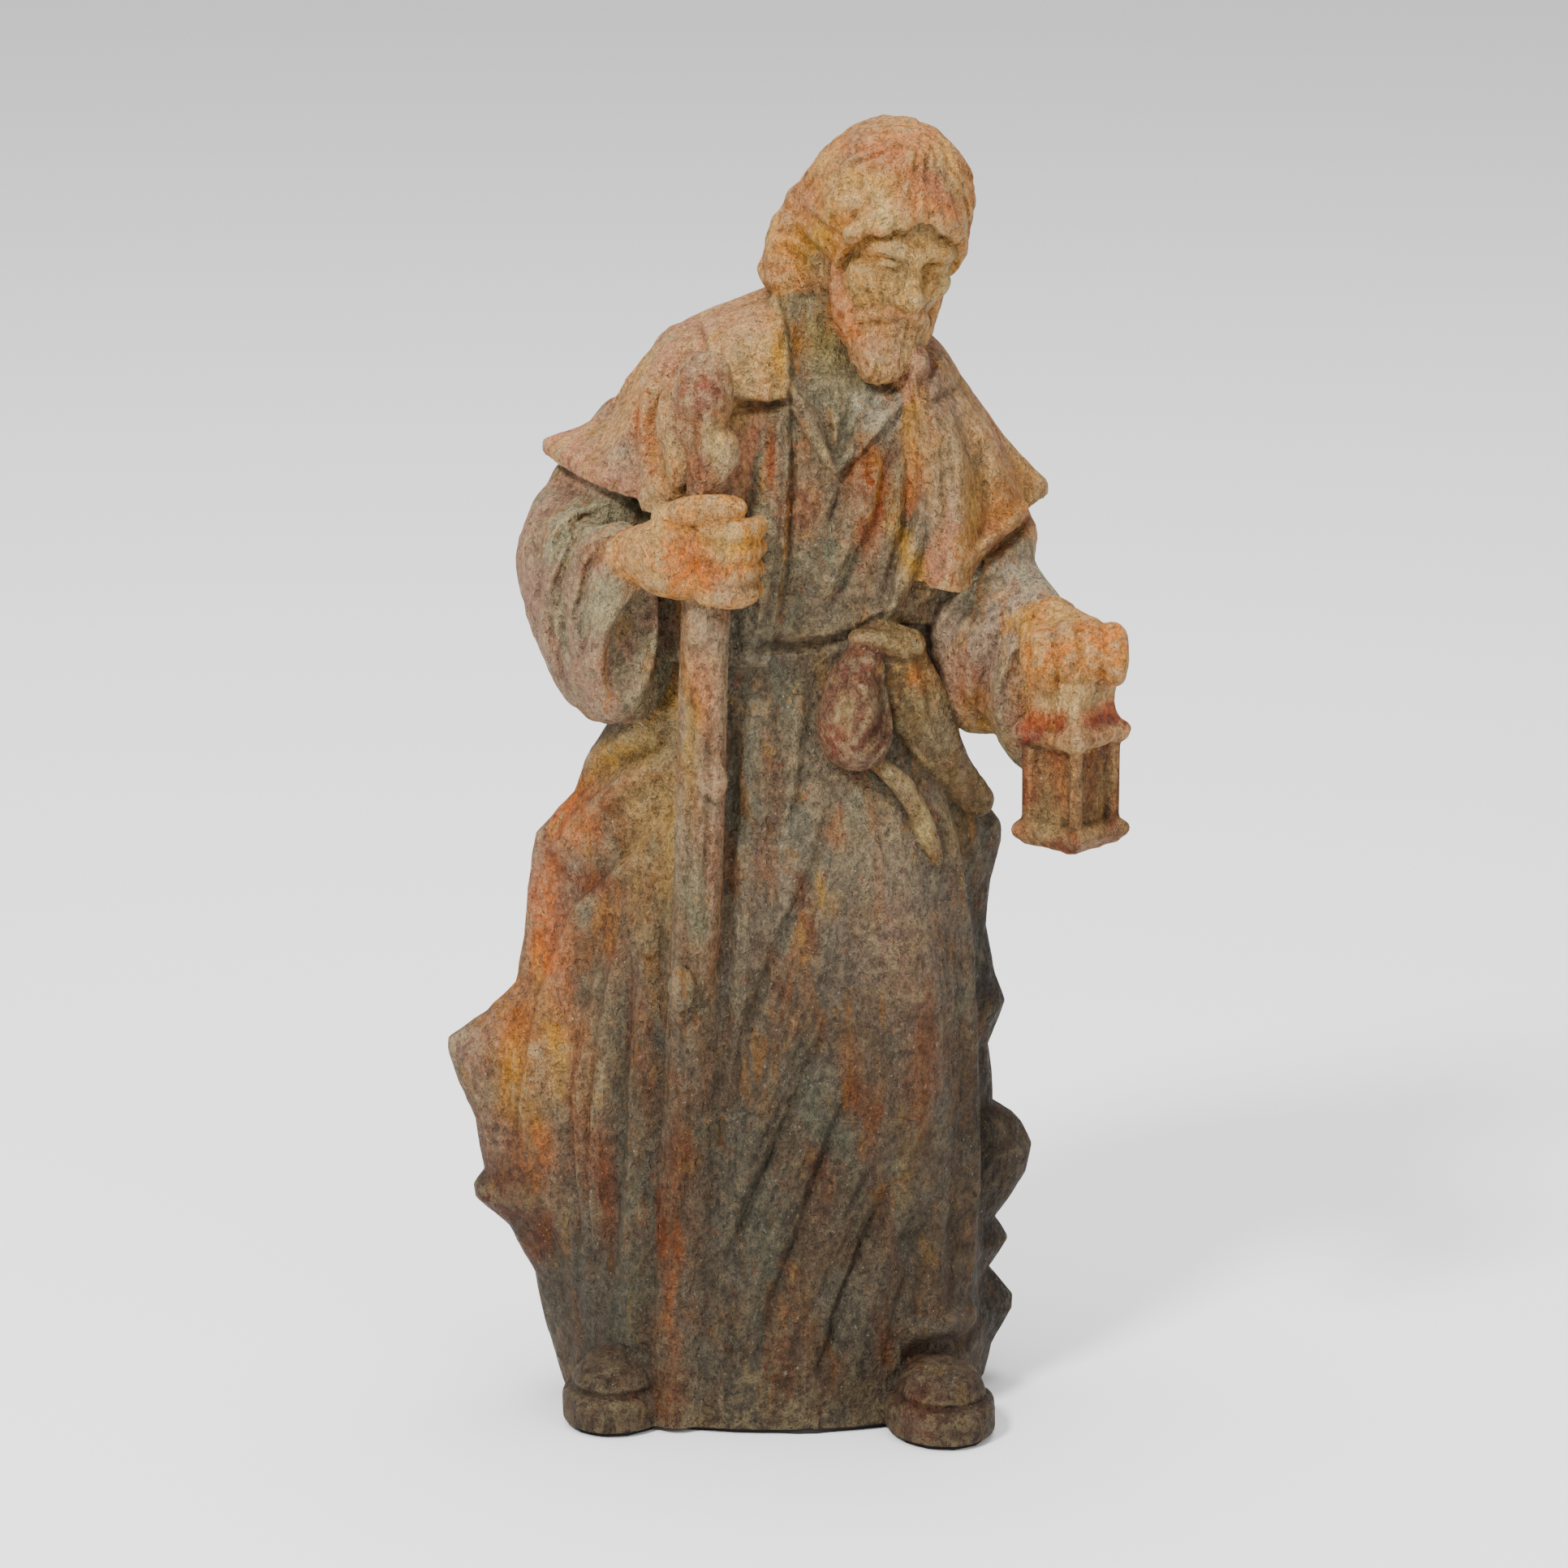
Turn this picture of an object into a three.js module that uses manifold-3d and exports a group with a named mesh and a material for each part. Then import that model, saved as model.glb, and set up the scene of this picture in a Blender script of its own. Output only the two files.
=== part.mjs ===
// A presepe figure: a robed, bearded man who leans on a staff and holds out a lantern.
// The figure is one solid casting and stands on a thin felt pad glued under its feet.
// Millimetres, +Z up. The figure faces -Y; the origin is the middle of the pad's underside.
import * as THREE from "three";
import { mergeVertices } from "three/addons/utils/BufferGeometryUtils.js";
import Module from "manifold-3d";

// Driving dimensions
const FIGURE_HEIGHT = 400;
const PAD_THICKNESS = 1.5;
const PAD_INSET = 2;
const STAFF_RADIUS = 7.2;
const LANTERN_SIDE = 21;
const LANTERN_PANE_HEIGHT = 23;
const LANTERN_POST = 3.6;
const LANTERN_PANE_RECESS = 2.4;
const LANTERN_EAVE = 1.7;
const LANTERN_BAND = 4;
const LANTERN_ROOF_HEIGHT = 7;
const LANTERN_NECK_HEIGHT = 17;
const SOLE_THICKNESS = 7;

// The figure's pose and carving are shares of its height: one step is a 400th of it.
const STEPS_TALL = 400;
const STEP = FIGURE_HEIGHT / STEPS_TALL;
const DEGREE = Math.PI / 180;
const TURN = 2 * Math.PI;

const wasm = await Module();
wasm.setup();

// Small number helpers
const mix = (a, b, share) => a + (b - a) * share;
const clamp = (value, low, high) => Math.min(high, Math.max(low, value));
const smooth = (low, high, value) => {
  const t = clamp((value - low) / (high - low), 0, 1);
  return t * t * (3 - 2 * t);
};
const bell = (distance) => Math.exp(-distance * distance);
const angleBetween = (a, b) => {
  const d = (a - b) % TURN;
  return Math.abs(d > Math.PI ? d - TURN : d < -Math.PI ? d + TURN : d);
};

// Reads a table of rows [key, value, value ...] at a key, with a smooth curve through the rows.
function readRows(rows, key) {
  const last = rows.length - 1;
  const at = clamp(key, rows[0][0], rows[last][0]);
  const i = Math.min(last - 1, rows.findLastIndex((row) => row[0] <= at));
  const [before, from, to, after] = [i - 1, i, i + 1, i + 2].map((n) => rows[clamp(n, 0, last)]);
  const span = to[0] - from[0];
  const t = (at - from[0]) / span;
  return from.slice(1).map((value, n) => {
    const end = to[n + 1];
    const slopeIn = ((end - before[n + 1]) / (to[0] - before[0])) * span;
    const slopeOut = ((after[n + 1] - value) / (after[0] - from[0])) * span;
    const a = 2 * value - 2 * end + slopeIn + slopeOut;
    const b = 3 * end - 3 * value - 2 * slopeIn - slopeOut;
    return a * t ** 3 + b * t ** 2 + slopeIn * t + value;
  });
}

// A closed skin: a capped cylinder whose points go to place(angle, share along, share of radius).
// Angle 0 is the front, and it grows towards the figure's left, the viewer's right.
function skin(around, along, place) {
  const geometry = new THREE.CylinderGeometry(1, 1, 1, around, along);
  const position = geometry.getAttribute("position");
  for (let i = 0; i < position.count; i++) {
    const x = position.getX(i);
    const z = position.getZ(i);
    const point = place(Math.atan2(x, z), position.getY(i) + 0.5, Math.hypot(x, z));
    position.setXYZ(i, ...point.map((value) => value * STEP));
  }
  return geometry;
}

// A limb or strap: an oval section led along a curve. Each row is [x, y, z, half width, half depth],
// and the half depth is measured towards the direction named by up.
function sweep(rows, around, along, up = [0, 0, 1]) {
  const curve = new THREE.CatmullRomCurve3(rows.map(([x, y, z]) => new THREE.Vector3(x, y, z)));
  const sizes = rows.map((row, i) => [i / (rows.length - 1), row[3], row[4]]);
  const upward = new THREE.Vector3(...up);
  return skin(around, along, (angle, share, radius) => {
    const tangent = curve.getTangent(share);
    const side = new THREE.Vector3().crossVectors(tangent, upward).normalize();
    const depth = new THREE.Vector3().crossVectors(side, tangent).normalize();
    const [halfWidth, halfDepth] = readRows(sizes, share);
    return curve
      .getPoint(share)
      .addScaledVector(side, Math.sin(angle) * radius * halfWidth)
      .addScaledVector(depth, Math.cos(angle) * radius * halfDepth)
      .toArray();
  });
}

// A rounded lump: a sphere with three half sizes, turned about X, Y and Z by degrees.
function lump([x, y, z], [a, b, c], around = 12, rings = 8, turn = [0, 0, 0]) {
  const geometry = new THREE.SphereGeometry(1, around, rings).rotateX(Math.PI / 2);
  const euler = new THREE.Euler(...turn.map((value) => value * DEGREE));
  return geometry
    .scale(a * STEP, b * STEP, c * STEP)
    .applyQuaternion(new THREE.Quaternion().setFromEuler(euler))
    .translate(x * STEP, y * STEP, z * STEP);
}

// How far folds lift the cloth at a point of the front or back view. A fold is
// [half width, lift, x, z, x, z ...]; its lift is negative in a groove.
function relief(folds, x, z) {
  let lift = 0;
  for (const [halfWidth, height, ...path] of folds) {
    let nearest = Infinity;
    for (let i = 0; i + 3 < path.length; i += 2) {
      const [ax, az, bx, bz] = path.slice(i, i + 4);
      const [dx, dz] = [bx - ax, bz - az];
      const t = clamp(((x - ax) * dx + (z - az) * dz) / (dx * dx + dz * dz), 0, 1);
      nearest = Math.min(nearest, Math.hypot(x - ax - t * dx, z - az - t * dz));
    }
    lift += height * bell(nearest / halfWidth);
  }
  return lift;
}

// Robe sections from hem to neck: [height, middle x, left, right, front, back]
const ROBE_ROWS = [
  [0, 0, 60, 61, 49, 46],
  [25, 0, 62, 62, 48, 47],
  [60, 0, 62, 62, 45, 48],
  [100, 0, 60, 60, 42, 48],
  [140, 0, 57, 59, 40, 47],
  [175, 0, 54, 57, 38, 45],
  [196, 0, 51, 53, 36, 43],
  [214, 0, 48, 51, 34, 41],
  [232, 1, 45, 51, 32, 38],
  [243, 2, 43, 50, 30, 37],
  [252, 3, 45, 51, 34.5, 38],
  [270, 5, 48, 49, 37, 40],
  [290, 7, 50, 49, 36, 41],
  [308, 9, 46, 45, 31, 37],
  [322, 11, 35, 36, 26, 30],
  [332, 13, 23, 24, 20, 22],
  [345, 15, 15, 15, 15, 16],
];
const ROBE_SQUARENESS = 2.3;

// Heights of the robe's rings: one at every peak and hollow of the mantle's edges
const ROBE_HEIGHTS = [
  0, 11, 25, 38, 46, 53, 65, 75, 87, 99, 112, 121, 130, 145, 160, 177, 190, 200, 214, 232,
  243, 252, 266, 282, 298, 312, 324, 335, 345,
];

// The mantle's edge at the figure's right (viewer's left) and left: [height, reach past the robe]
const RIGHT_EDGE = [
  [0, 5], [21, 9], [38, 12], [53, 20], [65, 31], [75, 28], [87, 31], [99, 37], [112, 41],
  [121, 30], [130, 22], [145, 20], [160, 20], [177, 19], [190, 9], [200, 6], [214, 1], [225, 0],
];
const LEFT_EDGE = [
  [0, 4], [11, 6], [25, 12], [38, 5], [46, 10], [53, 7], [65, 15], [75, 18], [84, 13],
  [90, 6], [99, 7], [112, 7], [121, 11], [130, 8], [145, 6], [160, 8], [177, 12], [190, 3], [200, 0],
];
const RIGHT_EDGE_ANGLE = -87 * DEGREE;
const LEFT_EDGE_ANGLE = 97 * DEGREE;
const EDGE_SPREAD = 19 * DEGREE;

// Folds of the robe as the front view shows them
const ROBE_FOLDS = [
  [16, 6, 28, 200, 37, 165, 41, 125, 42, 85],
  [4, -4, 20, 200, 13, 174, -1, 146, -10, 125, -16, 104],
  [3.5, -5, 22, 137, 16, 119, 9, 104, -1, 88, -12, 77],
  [4, -4, 29, 95, 22, 77, 13, 62, 0, 50, -10, 42],
  [3.5, -3, 34, 48, 27, 30, 23, 8],
  [5, 3, 13, 122, 3, 102, -8, 87],
  [5, 3, 22, 92, 12, 76, -1, 64, -10, 55],
  [6, 3, 35, 78, 30, 52, 18, 28, 10, 6],
  [4, 3, 45, 206, 54, 175, 56, 145, 56, 105, 58, 62, 56, 30],
  [3.5, -5, 52, 208, 61, 178, 64, 140, 64, 105, 67, 60, 66, 25],
  [3.5, -4, -11, 232, -12, 165, -15, 110, -18, 60, -19, 6],
  [4, 2, 3, 230, 1, 190, -2, 160],
  [5, 5, -27, 222, -42, 208, -56, 198, -68, 190],
  [3, -3, -29, 214, -44, 200, -58, 190],
  [6, 5, -29, 206, -42, 196, -56, 184, -66, 168],
  [4, -6, -30, 191, -40, 183, -50, 173, -57, 160],
  [5, 4, -44, 176, -47, 150, -46, 119, -48, 89, -50, 40],
  [3.5, -4, -53, 166, -56, 140, -57, 110, -56, 75, -56, 32],
  [5, 4, -63, 170, -67, 140, -69, 110, -67, 75, -62, 42],
  [4, -4, -74, 160, -79, 130, -83, 100, -80, 72],
  [3, -3, -37, 172, -39, 130, -41, 80, -43, 18],
  [3, -3, 26, 306, 20, 290, 12, 275, 4, 262],
  [3, -3, 34, 300, 30, 280, 22, 264, 16, 252],
  [4, 2, 22, 300, 17, 285, 10, 270, 2, 254],
  [2.5, -3, 3, 318, 3, 290, 1, 266, -2, 248],
  [3.5, 3, -3, 318, -3, 290, -5, 262, -7, 235],
  [4, 4.5, 38, 322, 41, 309, 43, 292, 41, 281, 36, 270, 32, 260, 27, 250],
  [3, -3, 45, 318, 49, 300, 49, 285, 46, 270, 40, 256],
];

// Folds of the back: flutes that fan out from under the cape to the hem
const FLUTES = 7;
const FLUTE_WIDTH = 5.5;
const FLUTE_LIFT = 4.5;
const BACK_FOLDS = Array.from({ length: FLUTES }, (_, n) => {
  const spread = mix(-1, 1, n / (FLUTES - 1));
  const sway = 3 * Math.sin(2.4 * n);
  return [FLUTE_WIDTH, FLUTE_LIFT, 6 + 22 * spread, 250, 38 * spread + sway, 150, 54 * spread, 8];
});

// The outline's distance from its middle, at an angle, for four half sizes
function ovalReach(angle, left, right, front, back) {
  const wide = Math.abs(Math.sin(angle)) / (Math.sin(angle) < 0 ? left : right);
  const deep = Math.abs(Math.cos(angle)) / (Math.cos(angle) > 0 ? front : back);
  return (wide ** ROBE_SQUARENESS + deep ** ROBE_SQUARENESS) ** (-1 / ROBE_SQUARENESS);
}

function robePoint(angle, height, radius) {
  const [middle, left, right, front, back] = readRows(ROBE_ROWS, height);
  let reach = ovalReach(angle, left, right, front, back);
  reach += readRows(RIGHT_EDGE, height)[0] * bell(angleBetween(angle, RIGHT_EDGE_ANGLE) / EDGE_SPREAD);
  reach += readRows(LEFT_EDGE, height)[0] * bell(angleBetween(angle, LEFT_EDGE_ANGLE) / EDGE_SPREAD);
  const x = middle + reach * Math.sin(angle);
  const facing = Math.cos(angle);
  const folds = facing > 0 ? ROBE_FOLDS : BACK_FOLDS;
  reach += relief(folds, x, height) * smooth(-0.05, 0.3, Math.abs(facing));
  return [middle + reach * radius * Math.sin(angle), -reach * radius * Math.cos(angle), height];
}

// The skin's columns stand closer together at the front, where the carving is finest
const frontward = (angle, amount) => angle - amount * Math.sin(angle);

function robe() {
  const around = 46;
  const rows = ROBE_HEIGHTS.length - 1;
  return skin(around, rows, (angle, share, radius) =>
    robePoint(frontward(angle, 0.25), ROBE_HEIGHTS[Math.round(share * rows)], radius),
  );
}

// Cape profiles, from the neck to the edge: [share, reach, height] at the right, front, left and back
const CAPE_PROFILES = [
  { angle: -90, rows: [[0, 10, 344], [0.3, 36, 334], [0.55, 50, 321], [0.8, 62, 305], [1, 79, 298]] },
  { angle: -45, rows: [[0, 10, 342], [0.3, 33, 331], [0.55, 45, 316], [0.8, 52, 302], [1, 57, 290]] },
  { angle: 0, rows: [[0, 10, 340], [0.3, 18, 332], [0.55, 24, 316], [0.8, 28, 302], [1, 30, 290]] },
  { angle: 50, rows: [[0, 10, 340], [0.3, 36, 328], [0.55, 46, 310], [0.8, 52, 288], [1, 56, 264]] },
  { angle: 70, rows: [[0, 10, 341], [0.3, 36, 330], [0.55, 47, 314], [0.8, 55, 292], [1, 63, 269]] },
  { angle: 88, rows: [[0, 10, 342], [0.3, 36, 331], [0.55, 48, 317], [0.8, 58, 297], [1, 70, 275]] },
  { angle: 110, rows: [[0, 10, 342], [0.3, 34, 330], [0.55, 46, 313], [0.8, 59, 294], [1, 75, 280]] },
  { angle: 180, rows: [[0, 12, 346], [0.3, 30, 336], [0.55, 40, 318], [0.8, 45, 290], [1, 47, 262]] },
  { angle: 235, rows: [[0, 12, 344], [0.3, 34, 332], [0.55, 47, 314], [0.8, 58, 293], [1, 67, 275]] },
  { angle: 270, rows: [[0, 10, 344], [0.3, 36, 334], [0.55, 50, 321], [0.8, 62, 305], [1, 79, 298]] },
];
const CAPE_MIDDLE = [9, 2];
const CAPE_UNDERSIDE = 284;
const CAPE_OPENING = [-14 * DEGREE, 44 * DEGREE];
const CAPE_OPENING_SINK = 16;
const CAPE_FOLDS = [
  [5, 3, -31, 334, -41, 315, -50, 296],
  [3.5, -3, -37, 327, -50, 309, -60, 296],
  [5, 2.5, -19, 333, -26, 312, -30, 290],
  [3, -2.5, -25, 330, -34, 310, -40, 290],
  [4.5, 3, 50, 318, 55, 300, 56, 276],
  [3, -3, 56, 312, 62, 294, 65, 274],
  [4, 2.5, 60, 308, 68, 290, 72, 272],
  [3, -2.5, 46, 316, 50, 296, 51, 270],
];
const CAPE_BACK_FOLDS = [-44, -22, 2, 26, 50].map((x) => [5, 3, x * 0.5 + 6, 330, x + 6, 262]);

function capePoint(angle, share, radius) {
  const degrees = angle / DEGREE < -90 ? angle / DEGREE + 360 : angle / DEGREE;
  const columns = CAPE_PROFILES.map(({ angle: at, rows }) => [at, ...readRows(rows, 1 - share)]);
  const [reachFlat, height] = readRows(columns, degrees);
  const x = CAPE_MIDDLE[0] + reachFlat * Math.sin(angle);
  const folds = Math.cos(angle) > 0 ? CAPE_FOLDS : CAPE_BACK_FOLDS;
  const edge = smooth(0, 0.4, 1 - share);
  const open = smooth(CAPE_OPENING[0] - 0.14, CAPE_OPENING[0] + 0.06, angle);
  const closed = 1 - smooth(CAPE_OPENING[1] - 0.06, CAPE_OPENING[1] + 0.14, angle);
  const reach = reachFlat + relief(folds, x, height) * edge - CAPE_OPENING_SINK * open * closed * edge;
  const z = radius < 1 ? mix(share > 0.5 ? height : CAPE_UNDERSIDE, height, radius) : height;
  return [CAPE_MIDDLE[0] + reach * radius * Math.sin(angle), CAPE_MIDDLE[1] - reach * radius * Math.cos(angle), z];
}

function cape() {
  return skin(38, 7, capePoint);
}

// A bell sleeve: upright oval sections led round from the shoulder to the wrist, deep below the arm.
// Each row is [x, y, z, half width, rise, drop, heading]; heading 0 points forward, 90 to the figure's left.
function sleeve(rows, around, along) {
  const table = rows.map((row, i) => [i / (rows.length - 1), ...row]);
  return skin(around, along, (angle, share, radius) => {
    const [x, y, z, halfWidth, rise, drop, heading] = readRows(table, share);
    const sideways = Math.sin(angle) * radius * halfWidth;
    const upward = Math.cos(angle) * radius * (Math.cos(angle) > 0 ? rise : drop);
    const turn = heading * DEGREE;
    return [x - sideways * Math.cos(turn), y - sideways * Math.sin(turn), z + upward];
  });
}

// The figure's right sleeve (viewer's left) hangs as a deep bag under the forearm
const RIGHT_SLEEVE_ROWS = [
  [-26, 6, 314, 12, 10, 18, -95],
  [-48, 6, 296, 14, 13, 24, -85],
  [-60, 2, 278, 16, 12, 30, -60],
  [-64, -9, 267, 14, 14, 40, -15],
  [-58, -22, 264, 12, 14, 45, 22],
  [-49, -33, 264, 10.5, 13, 45, 38],
  [-44, -38, 264, 9.5, 12, 40, 42],
];
const RIGHT_SLEEVE_BACK = { middle: [-41, -27, 238], half: [13, 6, 21] };
const RIGHT_SLEEVE_HOLLOW = { middle: [-41, -40, 240], half: [11, 11, 19] };

// The figure's left sleeve (viewer's right) reaches out and opens wide round the wrist
const LEFT_SLEEVE_ROWS = [
  [34, 4, 306, 12, 10, 20, 100],
  [54, 2, 288, 14, 12, 28, 80],
  [65, -6, 267, 15, 12, 42, 58],
  [72, -16, 254, 14, 10, 42, 46],
  [77, -23, 249, 12.5, 8.5, 42, 44],
  [79, -25.5, 247, 11, 7, 42, 44],
];

// Cloth that fills the space between each sleeve and the body
const RIGHT_ARMPIT = { middle: [-46, -6, 276], half: [14, 18, 24] };
const LEFT_ARMPIT = { middle: [60, -15, 238], half: [14, 14, 27] };

function sleeves() {
  return [
    sleeve(RIGHT_SLEEVE_ROWS, 14, 9),
    lump(RIGHT_SLEEVE_BACK.middle, RIGHT_SLEEVE_BACK.half, 10, 6, [0, 12, 30]),
    lump(RIGHT_ARMPIT.middle, RIGHT_ARMPIT.half, 10, 6),
    sleeve(LEFT_SLEEVE_ROWS, 14, 8),
    lump(LEFT_ARMPIT.middle, LEFT_ARMPIT.half, 10, 6),
  ];
}

// The figure's right hand: a fist with its back to the front and the fingers curled round the staff
function rightHand() {
  const pieces = [
    lump([-25, -49, 273], [18, 9.5, 13], 10, 6),
    sweep([[-54, -26, 266, 8, 9], [-44, -36, 270, 8.5, 10], [-34, -45, 273, 9, 11]], 8, 2),
    sweep([[-38, -46, 285, 4, 4], [-27, -54, 289, 4.6, 4.4], [-15, -55, 290, 3.4, 3.4]], 6, 3),
  ];
  const count = 4;
  for (let n = 0; n < count; n++) {
    const z = 283 - 6.4 * n;
    pieces.push(sweep([[-24, -54, z, 3.5, 3.3], [-15, -58.5, z, 3.8, 3.6], [-8, -54, z, 3.4, 3.4]], 6, 3));
  }
  return pieces;
}

// The staff: a knobbed stick that stands in front of the robe, with a swelling at its head
const STAFF_ROWS = [
  [-30, -46, 0, 1.15],
  [-28, -43.5, 60, 1.1],
  [-25, -42.5, 120, 1],
  [-22.5, -42, 190, 1],
  [-21, -42, 240, 1.02],
  [-20, -46, 280, 1],
  [-20, -47, 300, 1.05],
  [-20.5, -46.5, 312, 1.1],
  [-20.5, -46, 320, 1.28],
  [-20, -45, 329, 1.1],
  [-19.5, -44, 334, 0.45],
];
function staff() {
  const radius = STAFF_RADIUS / STEP;
  const rows = STAFF_ROWS.map(([x, y, z, share]) => [x, y, z, radius * share, radius * share]);
  return sweep(rows, 8, 16, [0, -1, 0]);
}

// The figure's left hand: a fist on top of the lantern, its four fingers curled over the front
function leftHand() {
  const pieces = [
    sweep([[70, -20, 246, 9, 9], [82, -31, 246, 10, 9], [91, -39, 244, 9, 9]], 8, 2),
    lump([89, -43, 242], [15, 11, 10.5], 10, 6),
  ];
  const count = 4;
  for (let n = 0; n < count; n++) {
    const x = 79.5 + 6.8 * n;
    const z = n === 0 ? 246 : 248;
    const joints = [[x, -38, z + 1, 3.6, 3], [x, -49, z, 3.8, 3.6], [x + 0.5, -54, z - 7, 3.7, 3.4], [x + 0.5, -50, z - 13, 2.8, 2.6]];
    pieces.push(sweep(joints, 6, 4, [0, 1, 0.4]));
  }
  return pieces;
}

// The lantern hangs from that fist, corner on, with a sunk pane between each pair of posts.
// Its pieces are worked out downwards from the height where the fist grips its neck.
const LANTERN_AXIS = [88, -42];
const LANTERN_GRIP = 243;
const LANTERN_TURN = 4 * DEGREE;

function lanternBlock(lowSide, highSide, low, high) {
  return new THREE.CylinderGeometry(highSide * Math.SQRT1_2, lowSide * Math.SQRT1_2, high - low, 4, 1)
    .rotateX(Math.PI / 2)
    .rotateZ(LANTERN_TURN)
    .translate(LANTERN_AXIS[0] * STEP, LANTERN_AXIS[1] * STEP, (low + high) / 2);
}

function lantern() {
  const overlap = 1;
  const wide = LANTERN_SIDE + 2 * LANTERN_EAVE;
  const neck = LANTERN_SIDE * 0.9;
  const paneSide = LANTERN_SIDE - 2 * LANTERN_PANE_RECESS;
  const roofTop = LANTERN_GRIP * STEP - LANTERN_NECK_HEIGHT;
  const roofEdge = roofTop - LANTERN_ROOF_HEIGHT;
  const eaveBottom = roofEdge - LANTERN_BAND;
  const paneBottom = eaveBottom - LANTERN_PANE_HEIGHT;
  const flareBottom = paneBottom - LANTERN_BAND;
  const foot = flareBottom - LANTERN_BAND;
  const pieces = [
    lanternBlock(neck, neck, roofTop - overlap, LANTERN_GRIP * STEP),
    lanternBlock(wide, neck, roofEdge, roofTop),
    lanternBlock(wide - 2 * LANTERN_EAVE, wide, eaveBottom, roofEdge),
    lanternBlock(paneSide, paneSide, foot + overlap, roofEdge),
    lanternBlock(wide, LANTERN_SIDE, flareBottom, paneBottom),
    lanternBlock(wide - 2 * LANTERN_EAVE, wide, foot, flareBottom),
    lump([...LANTERN_AXIS, foot / STEP], [4, 4, 4], 8, 6),
  ];
  const postRadius = LANTERN_POST / 2;
  const reach = LANTERN_SIDE * Math.SQRT1_2 - postRadius;
  for (let n = 0; n < 4; n++) {
    const post = new THREE.CylinderGeometry(postRadius, postRadius, LANTERN_PANE_HEIGHT + 2 * overlap, 6, 1)
      .rotateX(Math.PI / 2)
      .translate(0, -reach, (eaveBottom + paneBottom) / 2)
      .rotateZ(LANTERN_TURN + (n * TURN) / 4)
      .translate(LANTERN_AXIS[0] * STEP, LANTERN_AXIS[1] * STEP, 0);
    pieces.push(post);
  }
  return pieces;
}

// The head leans forward and to the figure's left; its own axes are right, forward and up
const HEAD_MIDDLE = [34, -12, 362];
const HEAD_HALF = [22, 25, 30];
const HEAD_TURN = new THREE.Quaternion().setFromEuler(
  new THREE.Euler(20 * DEGREE, 9 * DEGREE, 20 * DEGREE, "ZYX"),
);

// Lifts of the head's surface: [lift, spread, right, forward, up], as directions in the head's own axes
const HEAD_FORMS = [
  [5.5, 0.14, 0, 1, -0.2],
  [4, 0.11, 0, 1, -0.02],
  [2.4, 0.16, 0.26, 1, 0.2],
  [2.4, 0.16, -0.26, 1, 0.2],
  [-2.6, 0.13, 0.27, 1, 0.03],
  [-2.6, 0.13, -0.27, 1, 0.03],
  [1.5, 0.22, 0.45, 0.9, -0.2],
  [1.5, 0.22, -0.45, 0.9, -0.2],
  [2.6, 0.2, 0, 1, -0.42],
];
const HAIRLINE = 0.4;
const HAIR_THICKNESS = 4.6;
const HAIR_WAVES = 9;
const HAIR_WAVE_LIFT = 1;

function headPoint(around, share, radius) {
  const angle = frontward(around, 0.45);
  const rowPlace = mix(-1, 1, share);
  const lift = (rowPlace - 0.12 * Math.sin(Math.PI * rowPlace)) * 90 * DEGREE;
  const right = Math.sin(angle) * Math.cos(lift) * radius;
  const forward = Math.cos(angle) * Math.cos(lift) * radius;
  const up = Math.sin(lift);
  let rise = 0;
  for (const [height, spread, r, f, u] of HEAD_FORMS) {
    const length = Math.hypot(r, f, u);
    rise += height * bell(Math.hypot(right - r / length, forward - f / length, up - u / length) / spread);
  }
  const hair = smooth(HAIRLINE - 0.05, HAIRLINE + 0.07, up + 0.8 * (1 - forward) ** 2);
  const wave = HAIR_WAVE_LIFT * Math.sin(HAIR_WAVES * angle + 5 * up) * Math.cos(lift);
  rise += hair * (HAIR_THICKNESS + wave);
  const reach = 1 + rise / HEAD_HALF[1];
  return new THREE.Vector3(right * HEAD_HALF[0], -forward * HEAD_HALF[1], up * HEAD_HALF[2])
    .multiplyScalar(reach)
    .applyQuaternion(HEAD_TURN)
    .add(new THREE.Vector3(...HEAD_MIDDLE))
    .toArray();
}

// Skull and face, the locks at the sides and nape, the beard, and the neck
function head() {
  return [
    skin(24, 17, headPoint),
    lump([10, 1, 349], [13, 16, 11.5], 12, 7, [0, -35, 0]),
    lump([28, 9, 351], [24, 17, 17], 12, 7),
    lump([50, -5, 353], [8, 12, 13], 10, 6, [0, 20, 0]),
    sweep([[33, -20, 348, 15, 10], [31, -27, 338, 14, 10.5], [30, -30, 328, 10.5, 9], [29, -31, 319.5, 4, 4.5]], 12, 6, [0, -1, 0]),
    sweep([[15, 2, 318, 16, 15], [19, -3, 334, 15, 15], [26, -8, 348, 13, 15]], 12, 3, [0, -1, 0]),
  ];
}

// A round-bottomed pouch and the knotted end of the belt hang at the figure's left hip
function beltThings() {
  return [
    sweep(
      [[29, -30, 247, 3, 3], [26, -35, 237, 6.5, 6], [23, -38, 223, 10, 9], [22.5, -38, 211, 11, 9], [22.5, -36, 203, 6, 5]],
      10,
      6,
      [0, -1, 0],
    ),
    lump([35, -31, 245], [7.5, 6, 6], 8, 5),
    sweep([[35, -32, 245, 6, 4.5], [39, -34, 226, 8, 4.5], [45, -33, 206, 8, 4.5], [56, -27, 185, 6, 4]], 6, 4, [0, -1, 0]),
    sweep([[30, -33, 246, 3.5, 3], [36, -38, 224, 3.5, 3], [42, -38, 204, 3.2, 3], [46, -37, 188, 3, 2.5]], 6, 4, [0, -1, 0]),
  ];
}

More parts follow.
